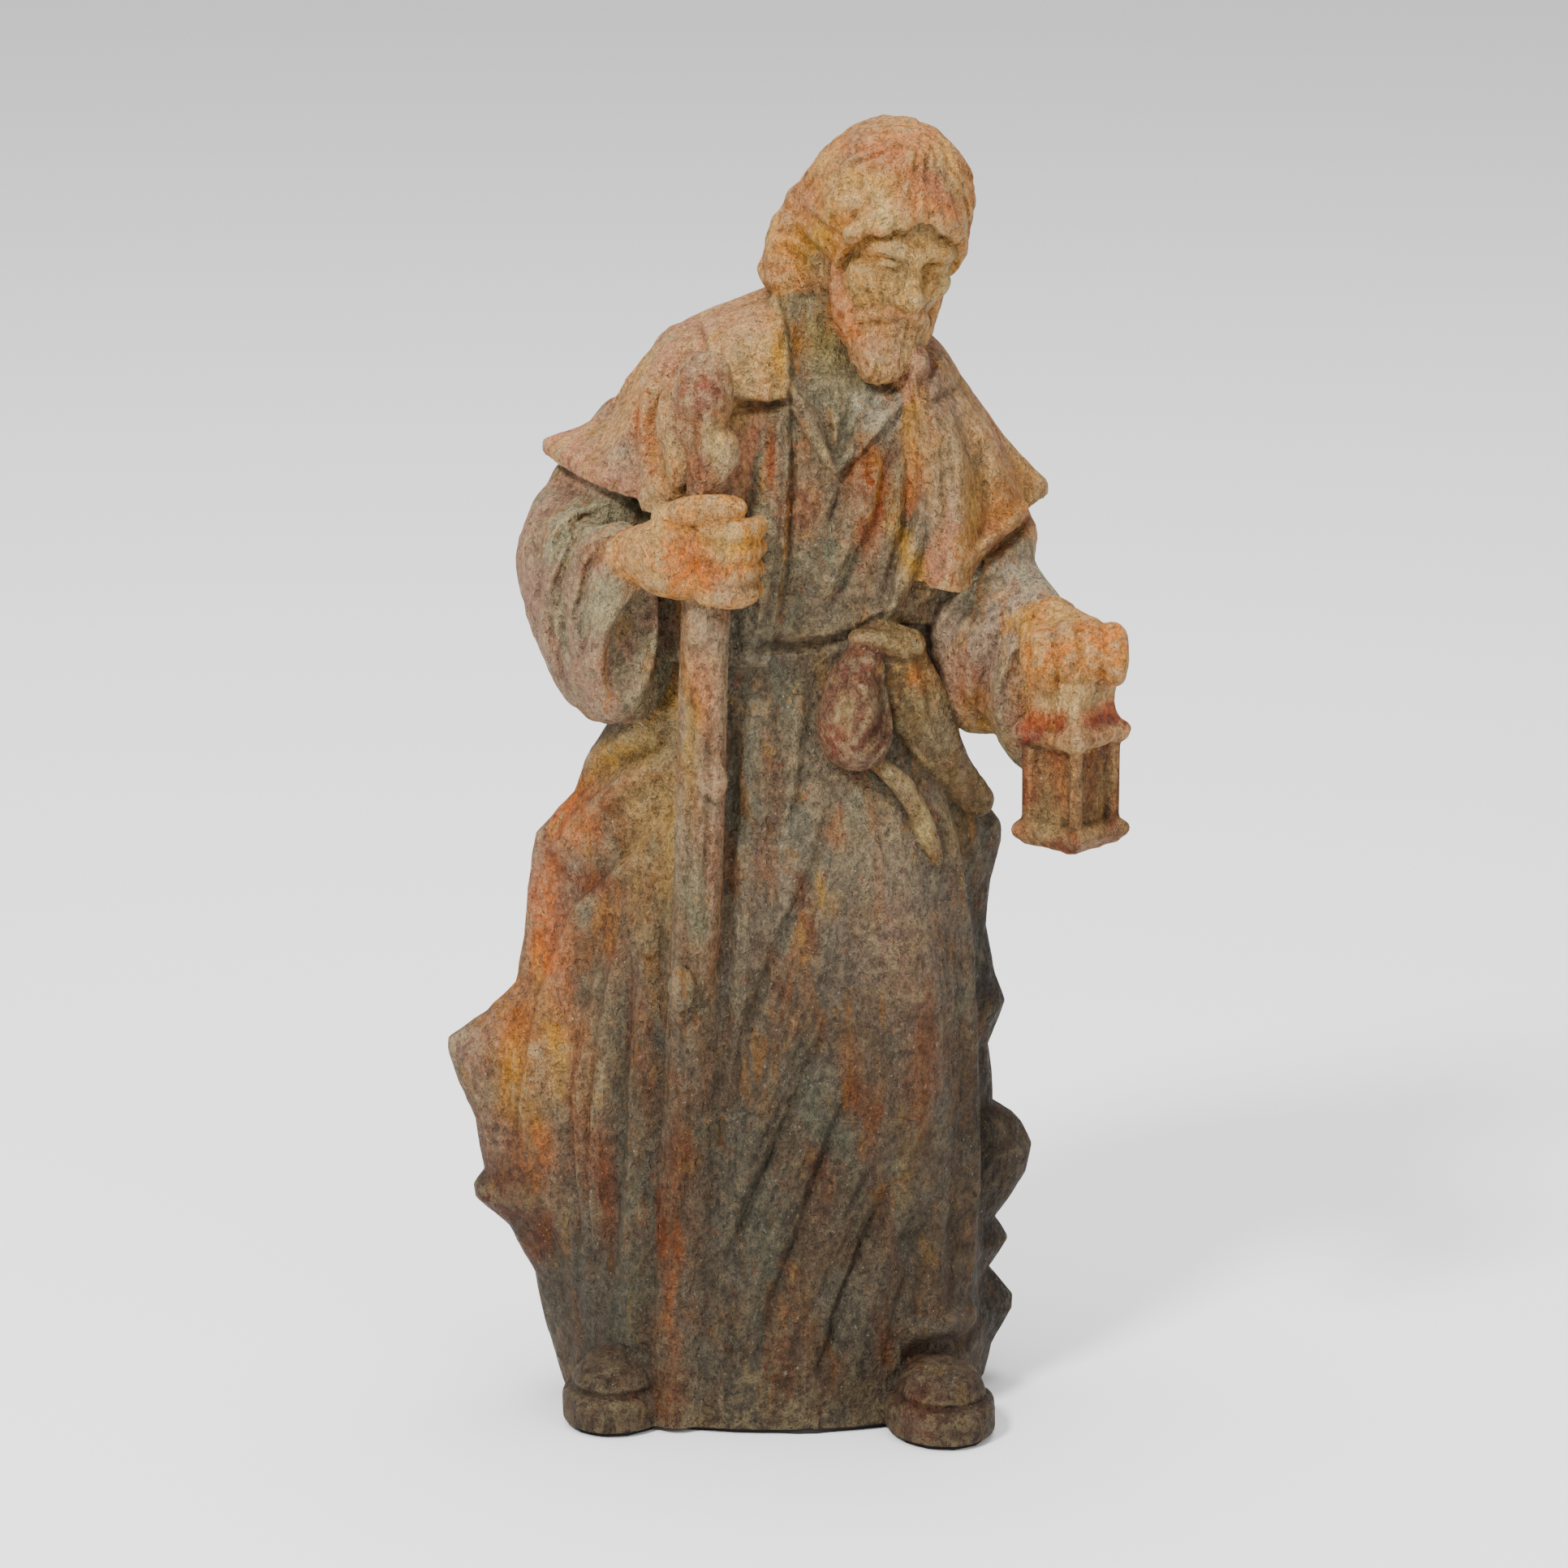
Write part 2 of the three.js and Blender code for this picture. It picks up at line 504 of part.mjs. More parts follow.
// Collar flap of the mantle at the figure's right, and the two facings of the neckline
function collar() {
  return [
    sweep([[-3, -14, 336, 4, 7], [-4, -27, 325, 4, 9], [-4, -34, 317, 3, 8]], 8, 4, [1, 0, 0]),
    sweep([[34, -26, 322, 2.5, 3], [27, -33, 310, 2.5, 3.5], [18, -37, 298, 2, 3]], 7, 4, [1, 0, 0.6]),
    sweep([[4, -28, 321, 2, 2.5], [11, -34, 309, 2, 3], [18, -37, 298, 2, 2.5]], 7, 4, [-1, 0, 0.6]),
  ];
}

// Shoes: [toe x, toe y, turn in degrees]; each is a round toe over a thick sole
const SHOES = [
  [-48, -32, -14],
  [50, -44, 12],
];
const SHOE_HALF = [16.5, 21];
const SHOE_HEIGHT = 22;
function shoeOutline(inset) {
  const shape = new THREE.Shape();
  shape.absellipse(0, 0, SHOE_HALF[0] * STEP - inset, SHOE_HALF[1] * STEP - inset, 0, TURN);
  return shape;
}
function shoePart(geometry, [x, y, turn]) {
  return geometry.rotateZ(turn * DEGREE).translate(x * STEP, y * STEP, 0);
}
function shoes() {
  const segments = 6;
  return SHOES.flatMap((shoe) => [
    shoePart(
      new THREE.ExtrudeGeometry(shoeOutline(0), {
        depth: SOLE_THICKNESS,
        bevelEnabled: false,
        curveSegments: segments,
      }).translate(0, 0, PAD_THICKNESS),
      shoe,
    ),
    shoePart(
      lump([0, 0, SOLE_THICKNESS / STEP], [SHOE_HALF[0] - 1, SHOE_HALF[1] - 1, SHOE_HEIGHT - SOLE_THICKNESS], 12, 6),
      shoe,
    ),
  ]);
}

// Turns a closed geometry into a solid
function solidOf(geometry) {
  const bare = geometry.index ? geometry.toNonIndexed() : geometry.clone();
  bare.deleteAttribute("normal");
  bare.deleteAttribute("uv");
  const merged = mergeVertices(bare, 1e-3);
  return new wasm.Manifold(
    new wasm.Mesh({
      numProp: 3,
      vertProperties: merged.getAttribute("position").array,
      triVerts: new Uint32Array(merged.index.array),
    }),
  );
}

function geometryOf(solid) {
  const mesh = solid.getMesh();
  const geometry = new THREE.BufferGeometry();
  geometry.setAttribute("position", new THREE.BufferAttribute(new Float32Array(mesh.vertProperties), 3));
  geometry.setIndex(new THREE.BufferAttribute(new Uint32Array(mesh.triVerts), 1));
  geometry.computeVertexNormals();
  return geometry;
}

const joinAll = (geometries) => geometries.map(solidOf).reduce((sum, next) => sum.add(next));

// The casting: everything joined, hollowed at the sleeve and cut flat for the pad
function figureSolid() {
  const clothing = joinAll([robe(), cape(), ...sleeves(), ...shoes(), ...collar(), ...beltThings(), ...head()]);
  const hollow = lump(RIGHT_SLEEVE_HOLLOW.middle, RIGHT_SLEEVE_HOLLOW.half, 10, 7, [0, 20, 40]);
  const held = joinAll([staff(), ...rightHand(), ...leftHand(), ...lantern()]);
  const reach = 2 * FIGURE_HEIGHT;
  const below = new THREE.BoxGeometry(reach, reach, reach).translate(0, 0, PAD_THICKNESS - reach / 2);
  return clothing.subtract(solidOf(hollow)).add(held).subtract(solidOf(below));
}

// The felt pad follows the outline of the hem and the soles, a little inside it
function padSolid() {
  const steps = 48;
  const outline = Array.from({ length: steps }, (_, n) => {
    const angle = (n / steps) * TURN;
    const [x, y] = robePoint(angle, PAD_THICKNESS / STEP, 1);
    const length = Math.hypot(x, y);
    const share = (length * STEP - PAD_INSET) / length;
    return new THREE.Vector2(x * share, y * share);
  });
  const settings = { depth: PAD_THICKNESS, bevelEnabled: false, curveSegments: 6 };
  const hem = new THREE.ExtrudeGeometry(new THREE.Shape(outline), settings);
  const soles = SHOES.map((shoe) => shoePart(new THREE.ExtrudeGeometry(shoeOutline(PAD_INSET), settings), shoe));
  return joinAll([hem, ...soles]);
}

const part = new THREE.Group();

function addPiece(name, solid, colour, roughness) {
  const material = new THREE.MeshStandardMaterial({ color: colour, roughness, metalness: 0 });
  const mesh = new THREE.Mesh(geometryOf(solid), material);
  mesh.name = name;
  part.add(mesh);
}

addPiece("figure", figureSolid(), 0x8a6f56, 0.85);
addPiece("base_pad", padSolid(), 0x1b1a1a, 0.95);

export default part;
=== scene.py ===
import math
from concurrent.futures import ThreadPoolExecutor

import bpy
import numpy as np
import openvdb
from mathutils import Euler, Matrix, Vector


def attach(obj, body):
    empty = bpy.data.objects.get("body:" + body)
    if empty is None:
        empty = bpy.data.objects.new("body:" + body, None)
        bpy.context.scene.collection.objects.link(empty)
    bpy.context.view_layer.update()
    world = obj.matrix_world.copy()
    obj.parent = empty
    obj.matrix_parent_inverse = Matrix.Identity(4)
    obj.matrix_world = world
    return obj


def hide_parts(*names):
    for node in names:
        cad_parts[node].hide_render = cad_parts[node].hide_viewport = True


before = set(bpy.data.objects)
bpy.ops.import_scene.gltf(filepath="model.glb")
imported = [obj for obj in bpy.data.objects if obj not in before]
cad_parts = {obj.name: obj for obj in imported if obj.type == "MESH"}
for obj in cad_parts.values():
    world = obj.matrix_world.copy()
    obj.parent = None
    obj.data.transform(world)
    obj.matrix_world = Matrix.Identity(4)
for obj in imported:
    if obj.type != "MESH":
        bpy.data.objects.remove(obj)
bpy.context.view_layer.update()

# Sizes in metres. The sculpt itself is laid out in steps: the figure is 400 steps tall.
FIGURE_HEIGHT = 0.400
STEPS_TALL = 400
STEP = FIGURE_HEIGHT / STEPS_TALL
PAD_THICKNESS = 0.0015
STAFF_RADIUS = 0.0072
LANTERN_SIDE = 0.021
LANTERN_EAVE = 0.0017
LANTERN_PANE_HEIGHT = 0.023
LANTERN_BAND = 0.004
LANTERN_ROOF_HEIGHT = 0.007
LANTERN_NECK_HEIGHT = 0.017
LANTERN_POST = 0.0036
LANTERN_PANE_RECESS = 0.0024

# The sculpt's grid and the mesh that comes from it
GRID_PITCH = 0.62
TILE_CELLS = 28
SCOUT_PITCH = 4.0
BAND = 4.0
TRIANGLES = 190_000
SCULPT_LOW = (-106.0, -76.0, -1.0)
SCULPT_HIGH = (112.0, 64.0, 404.0)
SURFACE_LUMP = 0.28
SURFACE_LUMP_SIZE = 4.0
SLEEVE_THICKNESS = 9.0
CUFF_REACH = 5.0
HOLLOW_JOIN = 1.6

TURN = 2 * math.pi
RNG = np.random.default_rng(7)


# Number helpers


def smooth(low, high, value):
    t = np.clip((value - low) / (high - low), 0, 1)
    return t * t * (3 - 2 * t)


def bell(distance):
    return np.exp(-distance * distance)


def smooth_min(a, b, blend):
    h = np.clip(0.5 + 0.5 * (b - a) / blend, 0, 1)
    return b + (a - b) * h - blend * h * (1 - h)


def smooth_max(a, b, blend):
    return -smooth_min(-a, -b, blend)


def angle_between(a, b):
    return np.abs((a - b + math.pi) % TURN - math.pi)


def read_rows(rows, keys):
    """Reads rows of [key, value, ...] at an array of keys, on a smooth curve through them."""
    table = np.asarray(rows, dtype=float)
    at = table[:, 0]
    last = len(at) - 1
    keys = np.clip(np.asarray(keys, dtype=float), at[0], at[-1])
    i = np.clip(np.searchsorted(at, keys, side="right") - 1, 0, last - 1)
    before = np.maximum(i - 1, 0)
    after = np.minimum(i + 2, last)
    span = at[i + 1] - at[i]
    t = ((keys - at[i]) / span)[..., None]
    start, end = table[i, 1:], table[i + 1, 1:]
    slope_in = (end - table[before, 1:]) * (span / (at[i + 1] - at[before]))[..., None]
    slope_out = (table[after, 1:] - start) * (span / (at[after] - at[i]))[..., None]
    a = 2 * start - 2 * end + slope_in + slope_out
    b = 3 * end - 3 * start - 2 * slope_in - slope_out
    return a * t**3 + b * t**2 + slope_in * t + start


def stroke_lift(strokes, x, z):
    """How far carved strokes lift the surface. A stroke is [half width, lift, x, z, x, z ...]."""
    lift = np.zeros(x.shape, np.float32)
    for half_width, height, *path in strokes:
        points = np.array(path, dtype=float).reshape(-1, 2)
        margin = 2.6 * half_width
        low, high = points.min(0) - margin, points.max(0) + margin
        near = (x > low[0]) & (x < high[0]) & (z > low[1]) & (z < high[1])
        px, pz = x[near], z[near]
        lengths = np.hypot(*np.diff(points, axis=0).T)
        total = lengths.sum()
        best = np.full(px.shape, np.inf)
        place = np.zeros(px.shape)
        done = 0.0
        for (ax, az), (bx, bz), length in zip(points, points[1:], lengths):
            t = np.clip(((px - ax) * (bx - ax) + (pz - az) * (bz - az)) / length**2, 0, 1)
            away = np.hypot(px - ax - t * (bx - ax), pz - az - t * (bz - az))
            closer = away < best
            best = np.where(closer, away, best)
            place = np.where(closer, (done + t * length) / total, place)
            done += length
        taper = 1 - np.abs(2 * place - 1) ** 4
        lift[near] += height * bell(best / half_width) * taper
    return lift


def patch_lift(patches, x, z):
    """How far pieces of cloth with a firm edge stand out. A patch is [lift, edge, x, z, x, z ...]."""
    lift = np.zeros(x.shape, np.float32)
    for height, edge, *outline in patches:
        corners = np.array(outline, dtype=float).reshape(-1, 2)
        low, high = corners.min(0) - 2 * edge, corners.max(0) + 2 * edge
        near = (x > low[0]) & (x < high[0]) & (z > low[1]) & (z < high[1])
        px, pz = x[near], z[near]
        best = np.full(px.shape, np.inf)
        inside = np.zeros(px.shape, bool)
        for (ax, az), (bx, bz) in zip(corners, np.roll(corners, -1, 0)):
            dx, dz = bx - ax, bz - az
            t = np.clip(((px - ax) * dx + (pz - az) * dz) / (dx * dx + dz * dz), 0, 1)
            best = np.minimum(best, np.hypot(px - ax - t * dx, pz - az - t * dz))
            crosses = (az > pz) != (bz > pz)
            inside ^= crosses & (px < ax + dx * (pz - az) / (dz if dz else 1.0))
        lift[near] += height * smooth(-edge, edge, np.where(inside, best, -best))
    return lift


def hatch(seed, count, half_width, lift, first, second):
    """Fine strokes that run beside one another between two guide paths."""
    rng = np.random.default_rng(seed)
    keys = np.linspace(0, 1, 9)
    guides = []
    for path in (first, second):
        points = np.array(path, dtype=float).reshape(-1, 2)
        at = np.linspace(0, 1, len(points))
        guides.append(np.stack([np.interp(keys, at, points[:, 0]), np.interp(keys, at, points[:, 1])], 1))
    strokes = []
    for n in range(count):
        share = (n + 0.5 + rng.uniform(-0.3, 0.3)) / count
        path = guides[0] + (guides[1] - guides[0]) * share + rng.normal(0, 0.35, (9, 2))
        start = rng.integers(0, 4)
        end = rng.integers(6, 10)
        depth = lift * rng.uniform(0.6, 1.4)
        strokes.append([half_width * rng.uniform(0.8, 1.3), depth, *path[start:end].ravel()])
    return strokes


def sample(table, u, v):
    """Reads a table between its cells; u and v count cells."""
    u = np.clip(u, 0, table.shape[0] - 1.001)
    v = np.clip(v, 0, table.shape[1] - 1.001)
    iu, iv = u.astype(np.int32), v.astype(np.int32)
    fu, fv = (u - iu).astype(np.float32), (v - iv).astype(np.float32)
    low = table[iu, iv] * (1 - fv) + table[iu, iv + 1] * fv
    high = table[iu + 1, iv] * (1 - fv) + table[iu + 1, iv + 1] * fv
    return low * (1 - fu) + high * fu


NOISE_CELLS = 64
NOISE_TABLE = RNG.random((NOISE_CELLS,) * 3).astype(np.float32) * 2 - 1


def noise(p, size, offset=0.0):
    """Soft value noise from -1 to 1 with lumps of the given size."""
    q = p / size + offset
    i = np.floor(q).astype(np.int32)
    f = (q - i).astype(np.float32)
    f = f * f * (3 - 2 * f)
    i %= NOISE_CELLS
    j = (i + 1) % NOISE_CELLS
    total = 0
    for x, wx in ((i[:, 0], 1 - f[:, 0]), (j[:, 0], f[:, 0])):
        for y, wy in ((i[:, 1], 1 - f[:, 1]), (j[:, 1], f[:, 1])):
            low, high = NOISE_TABLE[x, y, i[:, 2]], NOISE_TABLE[x, y, j[:, 2]]
            total = total + wx * wy * (low * (1 - f[:, 2]) + high * f[:, 2])
    return total


# Solids as distance functions. Each knows the box that it can reach.


class Solid:
    def __init__(self, distance, low, high):
        self.distance = distance
        self.low = np.asarray(low, float)
        self.high = np.asarray(high, float)

    def near(self, low, high, margin):
        return bool(np.all(self.low - margin < high) and np.all(self.high + margin > low))


def turn_matrix(degrees):
    return np.array(Euler([math.radians(value) for value in degrees]).to_matrix(), np.float32)


def oval_distance(q, half):
    """Distance to an ellipsoid in its own axes, close enough near its surface."""
    k0 = np.sqrt(((q / half) ** 2).sum(1))
    k1 = np.sqrt(((q / np.square(half)) ** 2).sum(1))
    return k0 * (k0 - 1) / np.maximum(k1, 1e-5)


def box_distance(q, rounding):
    """Distance to a box with rounded edges, from how far a point is past each of its sides."""
    return np.sqrt((np.maximum(q, 0) ** 2).sum(1)) + np.minimum(q.max(1), 0) - rounding


def lump(centre, half, turn=(0, 0, 0)):
    """An ellipsoid, turned about X, Y and Z by degrees."""
    centre, half = np.array(centre, np.float32), np.array(half, np.float32)
    axes = turn_matrix(turn)
    reach = np.sqrt(((axes * half) ** 2).sum(1))
    return Solid(lambda p: oval_distance((p - centre) @ axes, half), centre - reach, centre + reach)


def limb(rows, flat=(1, 1, 1), between=3):
    """A round limb through rows of [x, y, z, radius]; flat above 1 thins it along that axis."""
    rows = np.array(rows, float)
    flat = np.array(flat, float)
    keys = np.linspace(0, len(rows) - 1, (len(rows) - 1) * between + 1)
    path = read_rows(np.column_stack([np.arange(len(rows)), rows]), keys)
    reach = path[:, 3].max()
    low, high = path[:, :3].min(0) - reach, path[:, :3].max(0) + reach
    path = np.column_stack([path[:, :3] * flat, path[:, 3]]).astype(np.float32)
    flat = flat.astype(np.float32)

    def distance(p):
        q = p * flat
        best = None
        for a, b in zip(path, path[1:]):
            step = b[:3] - a[:3]
            t = np.clip(((q - a[:3]) @ step) / max(step @ step, 1e-9), 0, 1)
            away = q - a[:3] - t[:, None] * step
            d = np.sqrt((away * away).sum(1)) - (a[3] + t * (b[3] - a[3]))
            best = d if best is None else np.minimum(best, d)
        return best

    return Solid(distance, low, high)


def block(centre, half, turn, rounding):
    """A box with rounded edges, turned about X, Y and Z by degrees."""
    centre, half = np.array(centre, np.float32), np.array(half, np.float32)
    axes = turn_matrix(turn)
    reach = np.abs(axes * half).sum(1)

    def distance(p):
        return box_distance(np.abs((p - centre) @ axes) - (half - rounding), rounding)

    return Solid(distance, centre - reach, centre + reach)


def frustum(axis, low_side, high_side, low, high, turn, rounding=1.2):
    """A square block whose side changes from its low end to its high end."""
    cos, sin = math.cos(turn), math.sin(turn)
    reach = max(low_side, high_side) * 0.71

    def distance(p):
        x, y = p[:, 0] - axis[0], p[:, 1] - axis[1]
        share = np.clip((p[:, 2] - low) / (high - low), 0, 1)
        side = (low_side + (high_side - low_side) * share) / 2 - rounding
        across = np.abs(x * cos + y * sin) - side
        deep = np.abs(y * cos - x * sin) - side
        tall = np.abs(p[:, 2] - (low + high) / 2) - ((high - low) / 2 - rounding)
        return box_distance(np.stack([across, deep, tall], 1), rounding)

    return Solid(distance, (axis[0] - reach, axis[1] - reach, low), (axis[0] + reach, axis[1] + reach, high))


def sleeve_lumps(rows, count):
    """Upright ovals along an arm, from rows of [x, y, z, half width, rise, drop, heading]."""
    table = read_rows(np.column_stack([np.arange(len(rows)), rows]), np.linspace(0, len(rows) - 1, count))
    lumps = []
    for x, y, z, half_width, rise, drop, heading in table:
        middle = z + (rise - drop) / 2
        lumps.append(lump((x, y, middle), (half_width, SLEEVE_THICKNESS, (rise + drop) / 2), (0, 0, heading)))
    return lumps


class Group:
    """Solids that run into one another, with carved strokes and a soft join to the rest."""

    near = Solid.near

    def __init__(self, name, solids, blend=2.0, join=1.2, cuts=(), cut_blend=1.0, carve=None):
        self.name = name
        self.solids = solids
        self.blend = blend
        self.join = join
        self.cuts = cuts
        self.cut_blend = cut_blend
        self.carve = carve
        self.low = np.min([s.low for s in solids], 0)
        self.high = np.max([s.high for s in solids], 0)

    def distance(self, p, low, high):
        margin = BAND + 2 * self.blend
        best = None
        for solid in self.solids:
            if not solid.near(low, high, margin):
                continue
            d = solid.distance(p)
            best = d if best is None else smooth_min(best, d, self.blend)
        if best is None:
            return None
        for solid in self.cuts:
            if solid.near(low, high, margin):
                best = smooth_max(best, -solid.distance(p), self.cut_blend)
        if self.carve is not None:
            best = best - self.carve(p)
        return best


# Carving that lies on the front view: strokes in x and z, read from a table
CARVE_PITCH = 0.5
CARVE_LOW = (-110.0, 0.0)
CARVE_SHAPE = (450, 810)
CARVE_X, CARVE_Z = np.meshgrid(
    CARVE_LOW[0] + CARVE_PITCH * np.arange(CARVE_SHAPE[0]),
    CARVE_LOW[1] + CARVE_PITCH * np.arange(CARVE_SHAPE[1]),
    indexing="ij",
)


def front_carving(strokes, front, back, patches=()):
    """Strokes on the side that faces forward: full lift nearer than front, none beyond back."""
    table = stroke_lift(strokes, CARVE_X, CARVE_Z) + patch_lift(patches, CARVE_X, CARVE_Z)

    def carve(p):
        lift = sample(table, (p[:, 0] - CARVE_LOW[0]) / CARVE_PITCH, (p[:, 2] - CARVE_LOW[1]) / CARVE_PITCH)
        return lift * smooth(back, front, p[:, 1])

    return carve


# Robe: an oval loft round an upright axis, with the mantle's two edges standing out at the sides.
# Rows are [height, middle x, left, right, front, back].
ROBE_ROWS = [
    [0, 0, 60, 61, 49, 46],
    [25, 0, 62, 62, 48, 47],
    [60, 0, 62, 62, 45, 48],
    [100, 0, 60, 60, 42, 48],
    [140, 0, 57, 59, 40, 47],
    [175, 0, 54, 57, 38, 45],
    [196, 0, 51, 53, 36, 43],
    [214, 0, 48, 51, 34, 41],
    [232, 1, 45, 51, 32.6, 38],
    [243, 2, 43.5, 50, 32.4, 37],
    [252, 3, 45, 51, 34, 38],
    [270, 5, 48, 49, 37, 40],
    [290, 7, 50, 49, 36, 41],
    [308, 9, 46, 45, 31, 37],
    [322, 11, 35, 36, 26, 30],
    [332, 13, 23, 24, 20, 22],
    [345, 15, 15, 15, 15, 16],
]
ROBE_SQUARENESS = 2.3
ROBE_TOP = 345
RIGHT_EDGE = [
    [0, 5], [21, 9], [38, 12], [53, 20], [62, 30], [66, 31], [71, 28], [87, 31], [99, 37], [110, 41],
    [113, 41], [121, 30], [130, 22], [145, 20], [160, 20], [177, 19], [190, 9], [200, 6], [214, 1], [225, 0],
]
LEFT_EDGE = [
    [0, 4], [11, 6], [22, 12], [26, 12], [36, 4], [45, 10.5], [52, 6], [60, 12], [66, 16], [75, 18.5],
    [81, 16], [85, 13], [89, 7], [99, 7], [108, 6], [115, 9], [121, 11.5], [130, 8.5], [145, 6],
    [160, 8], [172, 12], [178, 12.5], [184, 9], [188, 5], [192, 2], [200, 0],
]
RIGHT_EDGE_ANGLE = math.radians(-87)
LEFT_EDGE_ANGLE = math.radians(97)
EDGE_SPREAD = math.radians(18)

# Folds as the front view shows them: [half width, lift, x, z, x, z ...]
ROBE_FOLDS = [
    # The bent knee under the robe
    [16, 6, 28, 206, 36, 165, 40, 125, 41, 60],
    [9, 2, 36, 162, 38, 128],
    # Grooves and folds that sweep away from it
    [2.0, -2.3, 19, 202, 12, 176, 3, 156, -3, 142, -9, 124, -15, 96],
    [1.7, -2.3, 17, 130, 7, 106, -1, 87, -9, 69, -17, 48],
    [1.7, -2.3, 24, 112, 15, 87, 8, 65, 0, 44, -6, 22],
    [1.7, -2.3, 36, 82, 28, 61, 20, 40, 13, 16],
    [1.6, -1.2, 45, 64, 38, 40, 32, 14],
    [3.0, 2.0, 16, 158, 9, 134, 0, 112, -8, 88, -14, 60],
    [3.0, 2.0, 23, 124, 13, 98, 5, 76, -4, 54, -11, 28],
    [3.0, 1.8, 32, 100, 22, 74, 14, 52, 6, 26],
    [3.4, 2.0, 40, 78, 32, 54, 25, 30, 20, 6],
    [1.4, -0.9, 20, 112, 11, 90, 4, 72],
    [1.4, -0.9, 30, 90, 21, 67, 12, 48],
    [1.6, -1.0, -8, 80, -12, 50, -15, 12],
    [2.2, -1.1, 46, 60, 43, 34, 41, 8],
    [3, 2, 49, 70, 48, 40, 50, 24],
    # The robe's border over the darker mantle behind it
    [2.6, 3, 46, 204, 51, 178, 55, 146, 57, 105, 59, 62, 58, 26],
    [2.8, -5.5, 52, 202, 58, 180, 62.5, 146, 63.5, 105, 66.5, 60, 65, 24],
    [2.2, 2.5, 65, 172, 67, 140, 67.5, 104],
    [1.8, -1.2, 69, 84, 70, 66, 67, 50],
    [1.8, -1.2, 62, 70, 66, 54, 67, 40],
    # Hem lip over the figure's left shoe
    [4, 4, 38, 29, 50, 31, 62, 27],
    [2.6, -2.2, 38, 22, 50, 23, 62, 20],
    # Valleys on both sides of the staff, and pleats under the belt
    [2.4, -1.9, -13, 236, -14, 165, -16, 110, -20, 60, -21, 4],
    [1.8, -1.4, -34, 226, -34.5, 150, -35, 90, -38, 10],
    [3, 2, -7, 232, -8, 190, -10, 150, -12, 110],
    [2.4, 1.6, 7, 234, 5, 205, 2, 178],
    [1.8, -0.9, 1, 236, 0, 205, -3, 170],
    [1.8, -1.0, 12, 234, 10, 212, 5, 185],
    [2.2, -1.1, 18, 60, 10, 40, 2, 12],
    # Cloth pulled from the hip to the mantle's edge
    [3.6, 5, -27, 224, -42, 212, -55, 201, -66, 190],
    [1.8, -2.0, -28, 217, -43, 205, -56, 195, -66, 184],
    [4, 5, -28, 209, -42, 198, -55, 186, -67, 171],
    [1.8, -1.6, -30, 203, -44, 192, -56, 179],
    [3.4, -3.7, -29, 194, -40, 186, -50, 175, -57, 160],
    [2.6, 2.4, -38, 178, -50, 168, -60, 150],
    # Long folds down the figure's right side
    [3.4, 4, -52, 168, -61, 146, -68, 128, -71, 111, -74, 94, -72, 74],
    [2.4, -2.6, -50, 158, -59, 134, -63, 115, -65, 99, -64, 76, -60, 50],
    [2.4, 2.6, -43, 160, -48, 136, -52, 112, -54, 84, -54, 50],
    [2.0, -1.7, -43, 140, -46, 112, -48, 86, -50, 40],
    [3.2, 2.6, -38, 172, -39, 140, -41, 104, -43, 60, -44, 24],
    [1.6, -1.1, -52, 120, -57, 96, -58, 60],
    [3, -2.1, -78, 140, -80, 122, -84, 104, -83, 84],
    [3.2, 2.6, -84, 122, -92, 108, -88, 88, -82, 70],
    [2.4, -1.5, -74, 66, -68, 48, -64, 26],
    # The blouse
    [2.2, -1.4, 26, 310, 20, 290, 12, 275, 3, 258],
    [2.0, -1.4, 34, 304, 30, 280, 22, 264, 14, 250],
    [2.8, 1.8, 30, 306, 25, 284, 17, 266, 8, 252],
    [2.6, 1.4, 20, 296, 14, 280, 6, 262],
    [1.8, -1.3, 3, 320, 3, 290, 1, 266, -3, 246],
    [2.4, 1.8, -3, 318, -3, 290, -5, 262, -8, 234],
    [1.6, -1.0, -9, 314, -10, 290, -11, 262],
    [2.8, 4, 38, 324, 41, 309, 43.5, 294, 42.5, 282, 38, 268, 34, 258, 28, 248],
    [2.0, -1.4, 45, 320, 49.5, 300, 48, 285, 43, 268, 38, 252],
    [2.6, 2.4, 48, 276, 45, 264, 41, 256, 38, 250],
    [1.8, -1.0, -8, 243, 4, 241, 14, 242, 24, 246],
]
# Fine creases beside the folds: [seed, count, half width, lift, first path, second path]
ROBE_CREASES = [
    (1, 8, 0.8, -0.5, [20, 140, 10, 112, -4, 84, -14, 62], [30, 100, 20, 76, 8, 54, -8, 30]),
    (2, 7, 0.8, -0.5, [30, 98, 22, 74, 8, 50, -6, 26], [38, 60, 30, 36, 22, 12, 18, 4]),
    (3, 7, 0.8, -0.5, [18, 200, 10, 165, 0, 142, -8, 116], [24, 152, 14, 122, 2, 98, -12, 72]),
    (4, 9, 0.9, -0.5, [-38, 170, -39, 110, -42, 20], [-58, 150, -66, 100, -58, 20]),
    (5, 6, 0.8, -0.4, [34, 190, 44, 140, 50, 90, 52, 30], [50, 190, 56, 140, 57, 90, 56, 30]),
    (6, 6, 0.9, -0.7, [-28, 222, -44, 208, -66, 190], [-30, 192, -46, 178, -64, 150]),
    (7, 6, 0.8, -0.4, [-12, 234, -13, 150, -16, 20], [6, 234, 0, 160, -8, 90]),
    (8, 7, 0.8, -0.3, [5, 314, 4, 290, -2, 250], [38, 300, 30, 280, 16, 250]),
    (9, 5, 0.9, -0.7, [64, 190, 66, 140, 68, 60], [72, 178, 74, 120, 74, 60]),
    (10, 5, 0.9, -0.6, [-70, 150, -76, 120, -78, 80], [-78, 150, -88, 112, -84, 74]),
]
for creases in ROBE_CREASES:
    ROBE_FOLDS += hatch(*creases)

